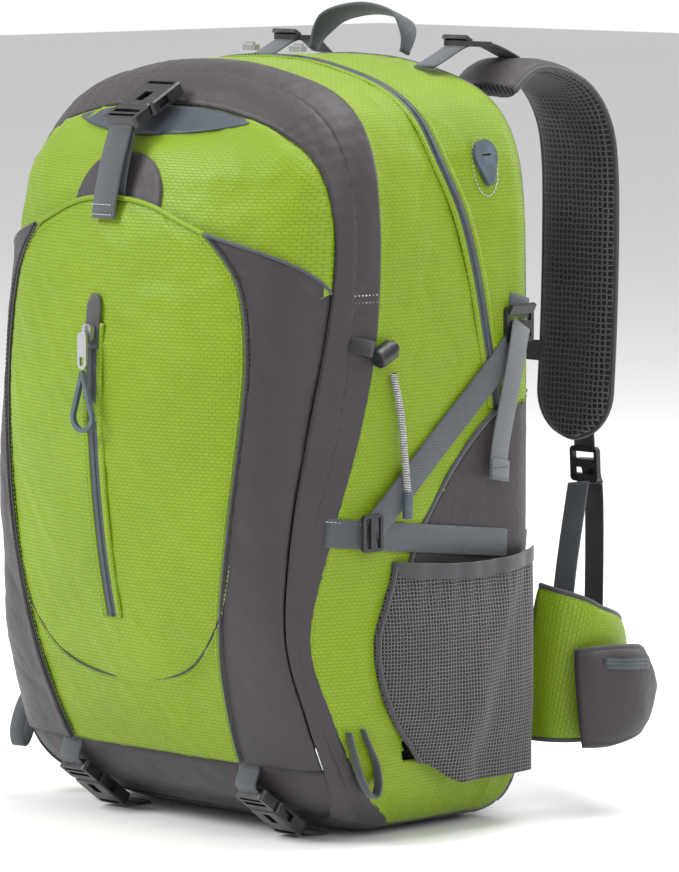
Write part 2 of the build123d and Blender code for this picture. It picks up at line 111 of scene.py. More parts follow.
def arch_normal(i):
    x0, z0 = arch(i - 0.05)
    x1, z1 = arch(i + 0.05)
    run = math.hypot(x1 - x0, z1 - z0) or 1.0
    return (z1 - z0) / run, -(x1 - x0) / run


ARC = [0.0]
for _k in range(1, LAST * 8 + 1):
    _a, _b = arch((_k - 1) / 8), arch(_k / 8)
    ARC.append(ARC[-1] + math.hypot(_b[0] - _a[0], _b[1] - _a[1]))


def arc_length(i):
    return smooth(ARC, i * 8)


def turn_in(y, i):
    """How far the shell has turned in from its full outline: early under the foot, strongly at the crown."""
    if y > BACK_TURN:
        return 12 * ((y - BACK_TURN) / 20) ** 2
    wall = mix(12.0, 46.0, ease((i - 10.5) / 3.0)) * (max(0.0, FRONT_TURN - y) / 60) ** 2
    under = 34.0 * (max(0.0, FOOT_TURN - y) / 80) ** 1.33
    return mix(under, wall, ease((i - 2.2) / 2.0))


def shell(i, y, side=1, out=0.0):
    """A point on the wrap-around part of the shell, out millimetres proud of it."""
    x, z = arch(i)
    nx, nz = arch_normal(i)
    e = turn_in(y, i) - out
    return Vector((side * max(0.0, x - e * nx), y, z - e * nz))


def front(t, i, out=0.0):
    """A point on the domed front: t runs from -1 to 1 across, i is the station of its edge."""
    edge = shell(i, smooth(FRONT_EDGE, i))
    crest = smooth(CREST, i)
    rise = max(0.0, 1 - abs(t) ** 1.8) ** (1 / 1.8)
    return Vector((t * edge.x, edge.y + (crest - edge.y) * rise - out, edge.z))


def station_on(height, of):
    """The station whose height is that, found by halving, where of(i) gives a height."""
    low, high = 2.0, float(LAST)
    for _ in range(24):
        middle = (low + high) / 2
        if of(middle) < height:
            low = middle
        else:
            high = middle
    return low


def on_front(x, z, out=0.0):
    i = station_on(z, lambda k: shell(k, smooth(FRONT_EDGE, k)).z)
    half = max(1.0, shell(i, smooth(FRONT_EDGE, i)).x)
    return front(max(-1.0, min(1.0, x / half)), i, out)


def on_side(y, z, out=0.0, side=1):
    i = station_on(z, lambda k: shell(k, y).z)
    return shell(i, y, side, out)


# ---- fabric meshes -------------------------------------------------------------------------------
def rumple(p, amount):
    """Soft wrinkles, as a push along the normal, in millimetres."""
    q = Vector((p.x, p.y, p.z))
    wide = noise.noise(q * 0.014) * 1.5
    long_folds = noise.noise(Vector((q.x * 0.012, q.y * 0.012, q.z * 0.045)) + Vector((9, 4, 2))) * 1.1
    slanted = noise.noise(Vector(((q.x + q.z) * 0.03, q.y * 0.02, (q.z - q.x) * 0.009)) + Vector((3, 7, 5)))
    crease = (1 - abs(slanted) * 2.4) ** 3 if abs(slanted) < 0.41 else 0.0
    fine = noise.noise(q * 0.09) * 0.25
    return amount * (wide + long_folds + 0.9 * crease + fine)


def new_object(name, verts, faces, material, body, uvs=None, smooth_shade=True):
    mesh = bpy.data.meshes.new(name)
    mesh.from_pydata([Vector(v) * MM for v in verts], [], faces)
    if uvs is not None:
        layer = mesh.uv_layers.new(name="UVMap")
        for loop in mesh.loops:
            u, v = uvs[loop.vertex_index]
            layer.data[loop.index].uv = (u * MM, v * MM)
    mesh.update()
    obj = bpy.data.objects.new(name, mesh)
    bpy.context.scene.collection.objects.link(obj)
    for poly in mesh.polygons:
        poly.use_smooth = smooth_shade
    mesh.materials.append(material)
    if body:
        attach(obj, body)
    return obj


def grid(name, place, columns, rows, material, body="pack", thick=1.2, wrinkle=0.0, pucker=None):
    """A sheet of fabric. place(u, v) gives a point and its cloth coordinates, all in millimetres.

    pucker(u, v) gives how far the point is from the nearest seam and how far along that seam it is."""
    points, uvs = [], []
    for r in range(rows + 1):
        for c in range(columns + 1):
            p, uv = place(c / columns, r / rows)
            points.append(p)
            uvs.append(uv)
    wide = columns + 1
    normals = []
    for r in range(rows + 1):
        for c in range(wide):
            a = points[r * wide + min(c + 1, columns)] - points[r * wide + max(c - 1, 0)]
            b = points[min(r + 1, rows) * wide + c] - points[max(r - 1, 0) * wide + c]
            n = a.cross(b)
            normals.append(n.normalized() if n.length > 1e-9 else Vector((0, 0, 0)))
    moved = []
    for k, (p, n) in enumerate(zip(points, normals)):
        push = 0.0
        fade = 1.0
        if pucker:
            distance, along = pucker((k % wide) / columns, (k // wide) / rows)
            fade = ease(distance / 14)
            gather = 0.5 + 0.5 * noise.noise(Vector((along * 0.05, 3.1, 0)))
            wave = math.sin(along * 0.52 + 2.5 * noise.noise(Vector((along * 0.04, 0, 7))))
            push += 0.75 * gather * wave * math.exp(-distance / 7) * ease(distance / 2.5)
            push -= 1.3 * math.exp(-distance / 2.2)
        if wrinkle:
            push += rumple(p, wrinkle) * (0.25 + 0.75 * fade)
        moved.append(p + n * push)
    faces = [
        (r * wide + c, r * wide + c + 1, (r + 1) * wide + c + 1, (r + 1) * wide + c)
        for r in range(rows) for c in range(columns)
    ]
    obj = new_object(name, moved, faces, material, body, uvs)
    if thick:
        solid = obj.modifiers.new("thickness", "SOLIDIFY")
        solid.thickness = thick * MM
        solid.offset = -1
    return obj


def cut_away(obj, covered):
    """Removes the faces of a cloth mesh that another piece covers; covered(p) is asked in millimetres."""
    mesh = obj.data
    keep = [poly for poly in mesh.polygons if not covered(poly.center / MM)]
    layer = mesh.uv_layers[0].data
    uvs = {}
    for poly in keep:
        for loop in poly.loop_indices:
            uvs[mesh.loops[loop].vertex_index] = tuple(layer[loop].uv)
    used = sorted(uvs)
    place = {v: k for k, v in enumerate(used)}
    verts = [mesh.vertices[v].co.copy() for v in used]
    faces = [[place[v] for v in poly.vertices] for poly in keep]
    mesh.clear_geometry()
    mesh.from_pydata(verts, [], faces)
    layer = mesh.uv_layers.new(name="UVMap") if not mesh.uv_layers else mesh.uv_layers[0]
    for loop in mesh.loops:
        layer.data[loop.index].uv = uvs[used[loop.vertex_index]]
    for poly in mesh.polygons:
        poly.use_smooth = True
    mesh.update()


def count(length, step=None):
    return max(2, round(length / (step or STEP)))


def path_lengths(points):
    total = [0.0]
    for a, b in zip(points, points[1:]):
        total.append(total[-1] + (b - a).length)
    return total


def resample(points, spacing):
    """Smooth curve through the points, sampled about every spacing millimetres."""
    points = [Vector(p) for p in points]
    fine = []
    steps = 12
    axes = [[p[k] for p in points] for k in range(3)]
    for n in range((len(points) - 1) * steps + 1):
        fine.append(Vector([smooth(axis, n / steps) for axis in axes]))
    lengths = path_lengths(fine)
    number = max(2, round(lengths[-1] / spacing))
    result, k = [], 0
    for n in range(number + 1):
        target = lengths[-1] * n / number
        while k < len(lengths) - 2 and lengths[k + 1] < target:
            k += 1
        span = lengths[k + 1] - lengths[k] or 1.0
        result.append(fine[k].lerp(fine[k + 1], min(1.0, (target - lengths[k]) / span)))
    return result


def ribbon(name, points, across, width, thickness, material, body="pack", spacing=4.0, ends=None):
    """Webbing along a smooth curve. across is its width direction, or one direction per point."""
    line = resample(points, spacing)
    if isinstance(across, (list, tuple)) and not isinstance(across[0], (int, float)):
        axes = [[Vector(a)[k] for a in across] for k in range(3)]
        last = len(across) - 1
        sides = [
            Vector([smooth(axis, last * n / (len(line) - 1)) for axis in axes]).normalized()
            for n in range(len(line))
        ]
    else:
        sides = [Vector(across).normalized()] * len(line)
    lengths = path_lengths(line)
    verts, uvs, faces = [], [], []
    shape = [(-0.5, 0.25), (-0.46, 0.5), (0, 0.56), (0.46, 0.5), (0.5, 0.25),
             (0.5, -0.25), (0.46, -0.5), (0, -0.56), (-0.46, -0.5), (-0.5, -0.25)]
    ring = len(shape)
    for n, p in enumerate(line):
        ahead = line[min(n + 1, len(line) - 1)] - line[max(n - 1, 0)]
        side = (sides[n] - ahead.normalized() * sides[n].dot(ahead.normalized())).normalized()
        up = side.cross(ahead).normalized()
        wide = width if ends is None else width * ends(n / (len(line) - 1))
        for a, b in shape:
            verts.append(p + side * a * wide + up * b * thickness)
            uvs.append((a * wide, lengths[n]))
    for n in range(len(line) - 1):
        for k in range(ring):
            a, b = n * ring + k, n * ring + (k + 1) % ring
            faces.append((a, b, b + ring, a + ring))
    faces.append(tuple(reversed(range(ring))))
    faces.append(tuple(range((len(line) - 1) * ring, len(line) * ring)))
    return new_object(name, verts, faces, material, body, uvs)


def tube(name, points, radius, material, body="pack", spacing=3.0, sides=8, squash=1.0):
    line = resample(points, spacing)
    verts, uvs, faces = [], [], []
    lengths = path_lengths(line)
    side = None
    for n, p in enumerate(line):
        ahead = (line[min(n + 1, len(line) - 1)] - line[max(n - 1, 0)]).normalized()
        if side is None:
            side = ahead.orthogonal().normalized()
        side = (side - ahead * side.dot(ahead)).normalized()
        up = ahead.cross(side)
        for k in range(sides):
            a = 2 * math.pi * k / sides
            verts.append(p + side * math.cos(a) * radius + up * math.sin(a) * radius * squash)
            uvs.append((radius * a, lengths[n]))
    for n in range(len(line) - 1):
        for k in range(sides):
            a, b = n * sides + k, n * sides + (k + 1) % sides
            faces.append((a, b, b + sides, a + sides))
    faces.append(tuple(reversed(range(sides))))
    faces.append(tuple(range((len(line) - 1) * sides, len(line) * sides)))
    return new_object(name, verts, faces, material, body, uvs)


THREADS = {}


def stitch(points, normal, colour="dark", body="pack", pitch=3.4, dash=2.3, wide=0.55):
    """A row of stitches along a curve; normal(p) gives the way out of the cloth, or a direction."""
    line = resample(points, pitch)
    verts, faces = THREADS.setdefault((colour, body), ([], []))
    for a, b in zip(line, line[1:]):
        run = (b - a).normalized()
        out = Vector(normal(a) if callable(normal) else normal).normalized()
        side = run.cross(out).normalized() * wide / 2
        end = a + run * dash
        mid = (a + end) / 2 + out * 0.55
        base = len(verts)
        verts += [a + side, a - side, mid + side, mid - side, end + side, end - side]
        verts += [a - out * 0.3, end - out * 0.3]
        faces += [
            tuple(base + k for k in face)
            for face in ((0, 1, 3, 2), (2, 3, 5, 4), (1, 0, 6), (4, 5, 7), (0, 2, 4, 7, 6), (3, 1, 6, 7, 5))
        ]


# ---- materials -----------------------------------------------------------------------------------
class Nodes:
    """A material's node tree, with short ways to add and join nodes."""

    def __init__(self, name, roughness, specular=0.4, sheen=0.0, sheen_roughness=0.5, metallic=0.0, coat=0.0):
        self.material = bpy.data.materials.new(name)
        self.material.use_nodes = True
        self.tree = self.material.node_tree
        self.shader = self.tree.nodes["Principled BSDF"]
        self.shader.inputs["Roughness"].default_value = roughness
        self.shader.inputs["Specular IOR Level"].default_value = specular
        self.shader.inputs["Sheen Weight"].default_value = sheen
        self.shader.inputs["Sheen Roughness"].default_value = sheen_roughness
        self.shader.inputs["Metallic"].default_value = metallic
        self.shader.inputs["Coat Weight"].default_value = coat
        self.shader.inputs["Coat Roughness"].default_value = 0.3

    def add(self, kind, settings=None, **inputs):
        node = self.tree.nodes.new(kind)
        for key, value in (settings or {}).items():
            setattr(node, key, value)
        for key, value in inputs.items():
            name = key.replace("_", " ")
            socket = node.inputs[int(key[1:])] if key[0] == "i" and key[1:].isdigit() else node.inputs[name]
            if hasattr(value, "is_output"):
                self.tree.links.new(value, socket)
            else:
                socket.default_value = value
        return node

    def cloth(self, scale=1.0, turn=0.0, stretch=(1, 1, 1)):
        """Cloth coordinates in millimetres, times scale."""
        source = self.add("ShaderNodeTexCoord").outputs["UV"]
        size = tuple(1000 * scale * s for s in stretch)
        mapping = self.add("ShaderNodeMapping", Vector=source, Scale=size, Rotation=(0, 0, turn))
        return mapping.outputs["Vector"]

    def space(self, scale=1.0, stretch=(1, 1, 1)):
        source = self.add("ShaderNodeTexCoord").outputs["Object"]
        size = tuple(1000 * scale * s for s in stretch)
        return self.add("ShaderNodeMapping", Vector=source, Scale=size).outputs["Vector"]

    def noise(self, vector, scale=1.0, detail=3.0):
        return self.add("ShaderNodeTexNoise", Vector=vector, Scale=scale, Detail=detail).outputs["Fac"]

    def math(self, kind, a, b=0.5):
        return self.add("ShaderNodeMath", {"operation": kind}, i0=a, i1=b).outputs[0]

    def ramp(self, factor, low, high, start=0.0, end=1.0):
        node = self.add("ShaderNodeValToRGB", Fac=factor)
        node.color_ramp.elements[0].position = start
        node.color_ramp.elements[1].position = end
        node.color_ramp.elements[0].color = (*low, 1)
        node.color_ramp.elements[1].color = (*high, 1)
        return node.outputs["Color"]

    def blend(self, factor, a, b, kind="MIX"):
        node = self.add("ShaderNodeMix", {"data_type": "RGBA", "blend_type": kind}, i0=factor)
        for socket, value in ((node.inputs[6], a), (node.inputs[7], b)):
            if hasattr(value, "is_output"):
                self.tree.links.new(value, socket)
            else:
                socket.default_value = (*value, 1)
        return node.outputs[2]

    def colour(self, value):
        self.tree.links.new(value, self.shader.inputs["Base Color"])

    def rough(self, value):
        self.tree.links.new(value, self.shader.inputs["Roughness"])

    def bumps(self, *layers):
        """Bump layers of (height, depth in millimetres)."""
        last = None
        for height, depth in layers:
            node = self.add("ShaderNodeBump", Height=height, Strength=1.0, Distance=depth * MM)
            if last is not None:
                self.tree.links.new(last, node.inputs["Normal"])
            last = node.outputs["Normal"]
        self.tree.links.new(last, self.shader.inputs["Normal"])


def ripstop(name, light, dark):
    """Coated nylon with raised rows of small bricks, faint crumple and a slight sheen."""
    m = Nodes(name, 0.5, specular=0.35, sheen=0.04, sheen_roughness=0.4)
    brick = m.add(
        "ShaderNodeTexBrick", {"offset": 0.5}, Vector=m.cloth(), Scale=1.0,
        i5=0.34, i6=0.12, i7=0.0, i8=4.6, i9=2.5,
    )
    brick.inputs["Color1"].default_value = (1, 1, 1, 1)
    brick.inputs["Color2"].default_value = (0.82, 0.82, 0.82, 1)
    brick.inputs["Mortar"].default_value = (0.25, 0.25, 0.25, 1)
    cells = brick.outputs["Color"]
    weave = m.noise(m.cloth(2.2, stretch=(1, 3, 1)), 1.0, 2.0)
    cloudy = m.noise(m.space(0.012), 1.0, 4.0)
    base = m.blend(cloudy, dark, light)
    lined = m.blend(cells, m.blend(0.5, base, dark, "MULTIPLY"), base)
    m.colour(m.blend(0.10, lined, m.ramp(weave, (0.35, 0.35, 0.35), (1, 1, 1), 0.3, 0.7), "OVERLAY"))
    m.rough(m.ramp(cells, (0.62, 0.62, 0.62), (0.46, 0.46, 0.46)))
    crumple = m.noise(m.space(0.055), 1.0, 5.0)
    m.bumps((crumple, 1.6), (cells, 0.16), (weave, 0.05))
    return m.material


def nylon(name, light, dark, roughness=0.5, sheen=0.2):
    """Smooth densely woven nylon."""
    m = Nodes(name, roughness, specular=0.4, sheen=sheen, sheen_roughness=0.45)
    cloudy = m.noise(m.space(0.014), 1.0, 5.0)
    warp = m.add(
        "ShaderNodeTexWave", {"bands_direction": "X"}, Vector=m.cloth(0.55), Scale=1.0, Distortion=0.6,
    )
    weft = m.add(
        "ShaderNodeTexWave", {"bands_direction": "Y"}, Vector=m.cloth(0.55), Scale=1.0, Distortion=0.6,
    )
    weave = m.math("MULTIPLY", warp.outputs["Fac"], weft.outputs["Fac"])
    shine = m.ramp(weave, (0.2, 0.2, 0.2), (1, 1, 1))
    m.colour(m.blend(0.12, m.blend(cloudy, dark, light), shine, "OVERLAY"))
    crumple = m.noise(m.space(0.05), 1.0, 5.0)
    m.bumps((crumple, 1.7), (weave, 0.05))
    return m.material


def webbing(name, light, dark):
    """Ribbed webbing: chevrons along its length."""
    m = Nodes(name, 0.62, specular=0.35, sheen=0.25)
    left = m.add("ShaderNodeTexWave", {"bands_direction": "DIAGONAL"}, Vector=m.cloth(0.42), Scale=1.0)
    ribs = m.add(
        "ShaderNodeTexWave", {"bands_direction": "Y"}, Vector=m.cloth(0.34),
        Scale=1.0, Distortion=0.8, Detail=1.0,
    )
    weave = m.math("MULTIPLY", ribs.outputs["Fac"], m.math("ADD", left.outputs["Fac"], 0.45))
    cloudy = m.noise(m.space(0.03), 1.0, 4.0)
    base = m.blend(cloudy, dark, light)
    m.colour(m.blend(m.math("MULTIPLY", weave, 0.75), m.blend(0.65, base, dark, "MULTIPLY"), base))
    m.bumps((weave, 0.32), (cloudy, 0.4))
    return m.material


def open_mesh(name, thread, hole_shade, pitch, depth, fold=0.0):
    """Knitted mesh: a net of threads over holes painted near black, as painted shade seen through the
    openings.
    """
    m = Nodes(name, 0.7, specular=0.25, sheen=0.15)
    cells = m.add(
        "ShaderNodeTexVoronoi", {"feature": "DISTANCE_TO_EDGE"}, Vector=m.cloth(1 / pitch), Scale=1.0,
        Randomness=0.22,
    )
    net = m.ramp(cells.outputs["Distance"], (1, 1, 1), (0, 0, 0), 0.07, 0.17)
    cloudy = m.noise(m.space(0.02), 1.0, 4.0)
    thread_colour = m.blend(cloudy, tuple(0.6 * c for c in thread), thread)
    # The hole colour is painted shade: a near-black standing in for the shade seen through the mesh's
    # openings.
    m.colour(m.blend(net, hole_shade, thread_colour))
    m.bumps((net, depth), (cloudy, 0.8))
    return m.material


def plastic(name, base, roughness=0.36):
    """Moulded acetal: fine grain, faint scuffs."""
    m = Nodes(name, roughness, specular=0.5, coat=0.08)
    scuff = m.noise(m.space(0.12), 1.0, 6.0)
    m.colour(m.ramp(scuff, base, tuple(c * 1.9 + 0.006 for c in base), 0.45, 0.85))
    m.rough(m.ramp(scuff, (roughness - 0.06,) * 3, (roughness + 0.16,) * 3, 0.35, 0.75))
    m.bumps((m.noise(m.space(1.2), 1.0, 2.0), 0.03))
    return m.material


def metal(name, base, roughness):
    m = Nodes(name, roughness, metallic=1.0)
    grain = m.noise(m.space(0.6, (1, 1, 6)), 1.0, 4.0)
    m.colour(m.ramp(grain, tuple(c * 0.7 for c in base), base))
    m.rough(m.ramp(grain, (roughness - 0.07,) * 3, (roughness + 0.12,) * 3))
    m.bumps((grain, 0.02))
    return m.material


def checked_cord(name):
    """Elastic cord with a black and pale braid."""
    m = Nodes(name, 0.6, sheen=0.2)
    source = m.add("ShaderNodeTexCoord").outputs["Object"]
    where = m.add("ShaderNodeMapping", Vector=source, Scale=(0.0, 0.0, 260.0)).outputs["Vector"]
    bands = m.add("ShaderNodeTexWave", {"bands_direction": "Z"}, Vector=where, Scale=1.0)
    fleck = m.noise(m.space(0.5), 1.0, 1.0)
    pale = m.math("GREATER_THAN", m.math("ADD", bands.outputs["Fac"], m.math("MULTIPLY", fleck, 0.8)), 1.05)
    m.colour(m.blend(pale, (0.012, 0.012, 0.013), (0.62, 0.62, 0.6)))
    m.bumps((bands.outputs["Fac"], 0.25))
    return m.material


LIME = ripstop("lime ripstop", (0.215, 0.325, 0.005), (0.150, 0.240, 0.003))
CHARCOAL = nylon("charcoal nylon", (0.036, 0.029, 0.035), (0.026, 0.021, 0.025), 0.48, 0.06)
SLATE = nylon("slate coated patch", (0.045, 0.056, 0.070), (0.032, 0.042, 0.053), 0.42, 0.05)
BINDING = nylon("dark binding", (0.05, 0.05, 0.056), (0.035, 0.035, 0.04), 0.6, 0.3)
LINING = nylon("back panel fabric", (0.055, 0.055, 0.06), (0.04, 0.04, 0.045), 0.6, 0.2)
GREY_WEB = webbing("slate webbing", (0.115, 0.135, 0.155), (0.065, 0.078, 0.092))
PALE_WEB = webbing("pale webbing", (0.25, 0.27, 0.28), (0.16, 0.175, 0.185))
BLACK_WEB = webbing("black webbing", (0.030, 0.029, 0.033), (0.014, 0.014, 0.017))
# The third colour of each mesh is painted shade for its holes, not a colour of the cloth.
POCKET_MESH = open_mesh("stretch mesh", (0.17, 0.155, 0.165), (0.010, 0.009, 0.010), 2.6, 0.5)
AIR_MESH = open_mesh("air mesh", (0.12, 0.115, 0.125), (0.006, 0.006, 0.007), 4.2, 1.1)
BUCKLE = plastic("black acetal", (0.012, 0.012, 0.014))
ZIP_TAPE = nylon("coated zip tape", (0.05, 0.062, 0.078), (0.035, 0.045, 0.058), 0.4, 0.05)
ZIP_COIL = plastic("zip coil", (0.03, 0.036, 0.045), 0.4)
SILVER = metal("satin aluminium", (0.55, 0.55, 0.57), 0.32)
GRIP = plastic("slate rubber", (0.05, 0.068, 0.085), 0.55)
CORD = checked_cord("elastic cord")
LIGHT_THREAD = nylon("pale thread", (0.5, 0.5, 0.52), (0.4, 0.4, 0.42), 0.6)
DARK_THREAD = nylon("dark thread", (0.03, 0.03, 0.034), (0.02, 0.02, 0.022), 0.6)
LIME_THREAD = nylon("lime thread", (0.26, 0.42, 0.02), (0.22, 0.36, 0.015), 0.6)


# ---- the shell's panels --------------------------------------------------------------------------
def around(low):
    """Station and side for a share of the way from the right foot over the crown to the left foot."""
    def at(u):
        i = mix(low, LAST, 1 - abs(2 * u - 1))
        return i, (1 if u < 0.5 else -1)
    return at


AROUND = count(2 * (arc_length(LAST) - arc_length(BASE_TOP)))


def band(name, near, far, material, low=lambda v: BASE_TOP, bulge=3.0, wrinkle=1.0):
    """One wrap-around panel between two sewn lines, given as tables of depth."""
    def place(u, v):
        i, side = around(low(v))(u)
        y = mix(smooth(near, i), smooth(far, i), v)
        swell = bulge * max(0.0, 1 - (2 * v - 1) ** 2) ** 0.7
        p = shell(i, y, side, swell)
        return p, (y, side * arc_length(i))

    widest = max(abs(a - b) for a, b in zip(near, far))

    def pucker(u, v):
        i, side = around(low(v))(u)
        across = abs(smooth(far, i) - smooth(near, i))
        distance = min(v, 1 - v) * across
        return distance, arc_length(i)

    return grid(name, place, AROUND, count(widest), material, wrinkle=wrinkle, pucker=pucker)


def foot_of_back(v):
    """The lime panel's foot rises at its back corner."""
    return mix(BASE_TOP, 3.75, ease((v - 0.3) / 0.7))


band("side_panel_front", LIME_EDGE, ZIP_LINE, LIME, bulge=1.6)
band("side_panel_back", ZIP_LINE, BACK_EDGE, LIME, low=foot_of_back, bulge=1.6, wrinkle=0.8)
band("gusset_back", SLIT_LINE, LIME_EDGE, CHARCOAL, bulge=1.6, wrinkle=0.8)
band("gusset_front", FRONT_EDGE, SLIT_LINE, CHARCOAL, bulge=2.0, wrinkle=0.8)


def base_place(u, v):
    side = 1 if u < 0.5 else -1
    share = abs(2 * u - 1)
    i = share * mix(BASE_TOP, foot_of_back(1.0), ease((v - 0.75) / 0.25))
    y = mix(smooth(FRONT_EDGE, i), smooth(BACK_EDGE, i), v)
    return shell(i, y, -side), (side * arc_length(i), y)


BASE = grid("base_fabric", base_place, count(280), count(150), CHARCOAL, wrinkle=0.0)
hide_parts("base_panel")


def front_panel(name, place_it, columns, rows, material, wrinkle=1.0, pucker=None, thick=1.2):
    """A panel of the domed front; place_it(u, v) gives (t, station, out)."""
    def place(u, v):
        t, i, out = place_it(u, v)
        p = front(t, i, out)
        return p, (p.x, arc_length(i))
    return grid(name, place, columns, rows, material, wrinkle=wrinkle, pucker=pucker, thick=thick)


def spread(u):
    """Across the front, closer together towards the edges."""
    return math.sin(math.pi / 2 * (2 * u - 1))


POCKET_FOOT = 4.25
front_panel(
    "front_upper_panel",
    lambda u, v: (spread(u), mix(8.6 + 1.15 * abs(spread(u)) ** 4, LAST, v), 0.0),
    count(300), count(240), LIME, wrinkle=1.2,
    pucker=lambda u, v: (min(u, 1 - u) * 260, v * 240),
)
front_panel(
    "front_base_panel", lambda u, v: (spread(u), mix(0.0, POCKET_FOOT, v), 0.0),
    count(290), count(110), CHARCOAL, wrinkle=0.6,
)

# Half the width of the pocket's lime panel at stations 4 to 11.
LIME_HALF = [86, 92, 99, 111, 120, 122, 111, 78]


def seam_share(i):
    half = smooth(LIME_HALF, i - 4)
    return min(0.97, half / shell(i, smooth(FRONT_EDGE, i)).x)


def pocket_top(share):
    """Station of the pocket's upper edge: an arch over the lime panel."""
    return 11.3 - 0.6 * abs(share) ** 2.3


def stand_off(t, i):
    """The pocket stands proud of the shell, more towards its open top."""
    lift = POCKET_PROUD * (1 - abs(t) ** 5)
    return lift * (0.65 + 0.6 * ease((i - 7) / 4))


def pocket_centre(u, v):
    share = 2 * u - 1
    i = mix(POCKET_FOOT, pocket_top(share), v)
    t = share * seam_share(i)
    return t, i, stand_off(t, i)


def pocket_wing(side):
    def place(u, v):
        top = mix(pocket_top(1.0), 9.75, u)
        i = mix(POCKET_FOOT, top, v)
        t = mix(seam_share(i), 1.0, math.sin(math.pi / 2 * u))
        if side < 0:
            t = -t
        return t, i, stand_off(t, i) + 0.9 + 1.4 * math.sin(math.pi * u)
    return place


CENTRE = front_panel(
    "pocket_centre_panel", pocket_centre, count(230), count(390), LIME,
    wrinkle=1.0, thick=1.6,
    pucker=lambda u, v: (min(u, 1 - u, (1 - v) * 1.7) * 225, v * 390 if min(u, 1 - u) < 0.1 else u * 225),
)
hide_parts("front_pocket")
for side, tag in ((1, "right"), (-1, "left")):
    front_panel(
        "pocket_wing_" + tag, pocket_wing(side), count(60), count(350), CHARCOAL,
        wrinkle=0.9,
        pucker=lambda u, v: (min(u, 1 - u) * 60, v * 350), thick=1.6,
    )
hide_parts("main_compartment")
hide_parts("front_compartment")


# ---- lines on the shell --------------------------------------------------------------------------
def both_ways(right):
    """A line given for the right half, from the right foot over the crown to the left foot."""
    return right + [Vector((-p.x, p.y, p.z)) for p in reversed(right[:-1])]


def sewn_line(table, out=0.0, shift=0.0, low=BASE_TOP):
    """A seam that runs over the whole arch at the depths of a table."""
    steps = round((LAST - low) * 4)
    stations = [mix(low, LAST, k / steps) for k in range(steps + 1)]
    return both_ways([shell(i, smooth(table, i) + shift, 1, out) for i in stations])


def outward(p):
    """Away from the middle of the pack, for seams on its sides and crown."""
    return Vector((p.x, 0, max(0.0, p.z - 400)))


def forward(p):
    return Vector((p.x * 0.004, -1, max(0.0, p.z - 470) * 0.02))


def on_pocket(x, z, out=0.0):
    """A point on the front pocket's outer face."""
    i = station_on(z, lambda k: shell(k, smooth(FRONT_EDGE, k)).z)
    t = max(-1.0, min(1.0, x / max(1.0, shell(i, smooth(FRONT_EDGE, i)).x)))
    return front(t, i, stand_off(t, i) + out)


def swap(point, side):
    return Vector((side * point[0], point[1], point[2]))


def tag(side):
    return "right" if side > 0 else "left"


for _table, _name in ((LIME_EDGE, "gusset"), (SLIT_LINE, "slit"), (FRONT_EDGE, "front")):
    tube("seam_" + _name, sewn_line(_table, 0.5), 1.0, BINDING, spacing=6.0, sides=6)
tube("seam_back", sewn_line(BACK_EDGE, 0.6), 2.4, BINDING, spacing=6.0)
stitch(sewn_line(LIME_EDGE, 1.4, -3.6), outward, "dark")
stitch(sewn_line(LIME_EDGE, 1.6, 3.6), outward, "lime")
stitch(sewn_line(SLIT_LINE, 1.2, -3.2), outward, "light")

# The main zip: a coil in a dark tape between two folded lips, from the side wall over the crown.
ZIP_START = 8.15
tape = sewn_line(ZIP_LINE, 2.4, low=ZIP_START)
MAIN_ZIP = ribbon("main_zip", tape, (0, 1, 0), 8.0, 0.9, ZIP_TAPE)
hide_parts("main_zip_tape")
coil = sewn_line(ZIP_LINE, 2.9, low=ZIP_START)
tube("main_zip_coil", coil, 1.5, ZIP_COIL, spacing=5.0, sides=6)
for _shift in (-6.5, 6.5):
    ribbon(f"main_zip_lip_{'front' if _shift < 0 else 'back'}", sewn_line(ZIP_LINE, 2.2, _shift, ZIP_START),
           (0, 1, 0), 5.0, 1.5, LIME)
    stitch(sewn_line(ZIP_LINE, 3.1, _shift, ZIP_START), outward, "lime")

# Two rows of pale stitches across the gusset, level with the top of the front zip.
TACK_STATION = 9.6
for _side in (1, -1):
    _depths = [mix(smooth(SLIT_LINE, TACK_STATION), smooth(LIME_EDGE, TACK_STATION), f) for f in (0, 0.5, 1)]
    _cross = [shell(TACK_STATION, y, _side, 1.9) for y in _depths]
    stitch(_cross, (_side, 0, 0), "light", wide=0.9)
    stitch([p + Vector((0, 0, 5)) for p in _cross], (_side, 0, 0), "light", wide=0.9)

# ---- the back of the shell -----------------------------------------------------------------------
def back_place(u, v):
    i = mix(foot_of_back(1.0), LAST, v)
    edge = shell(i, smooth(BACK_EDGE, i))
    x = (2 * u - 1) * edge.x
    return Vector((x, edge.y + 0.5, edge.z)), (x, edge.z)


grid("back_face", back_place, count(330, 8), count(520, 8), LINING, wrinkle=0.4)


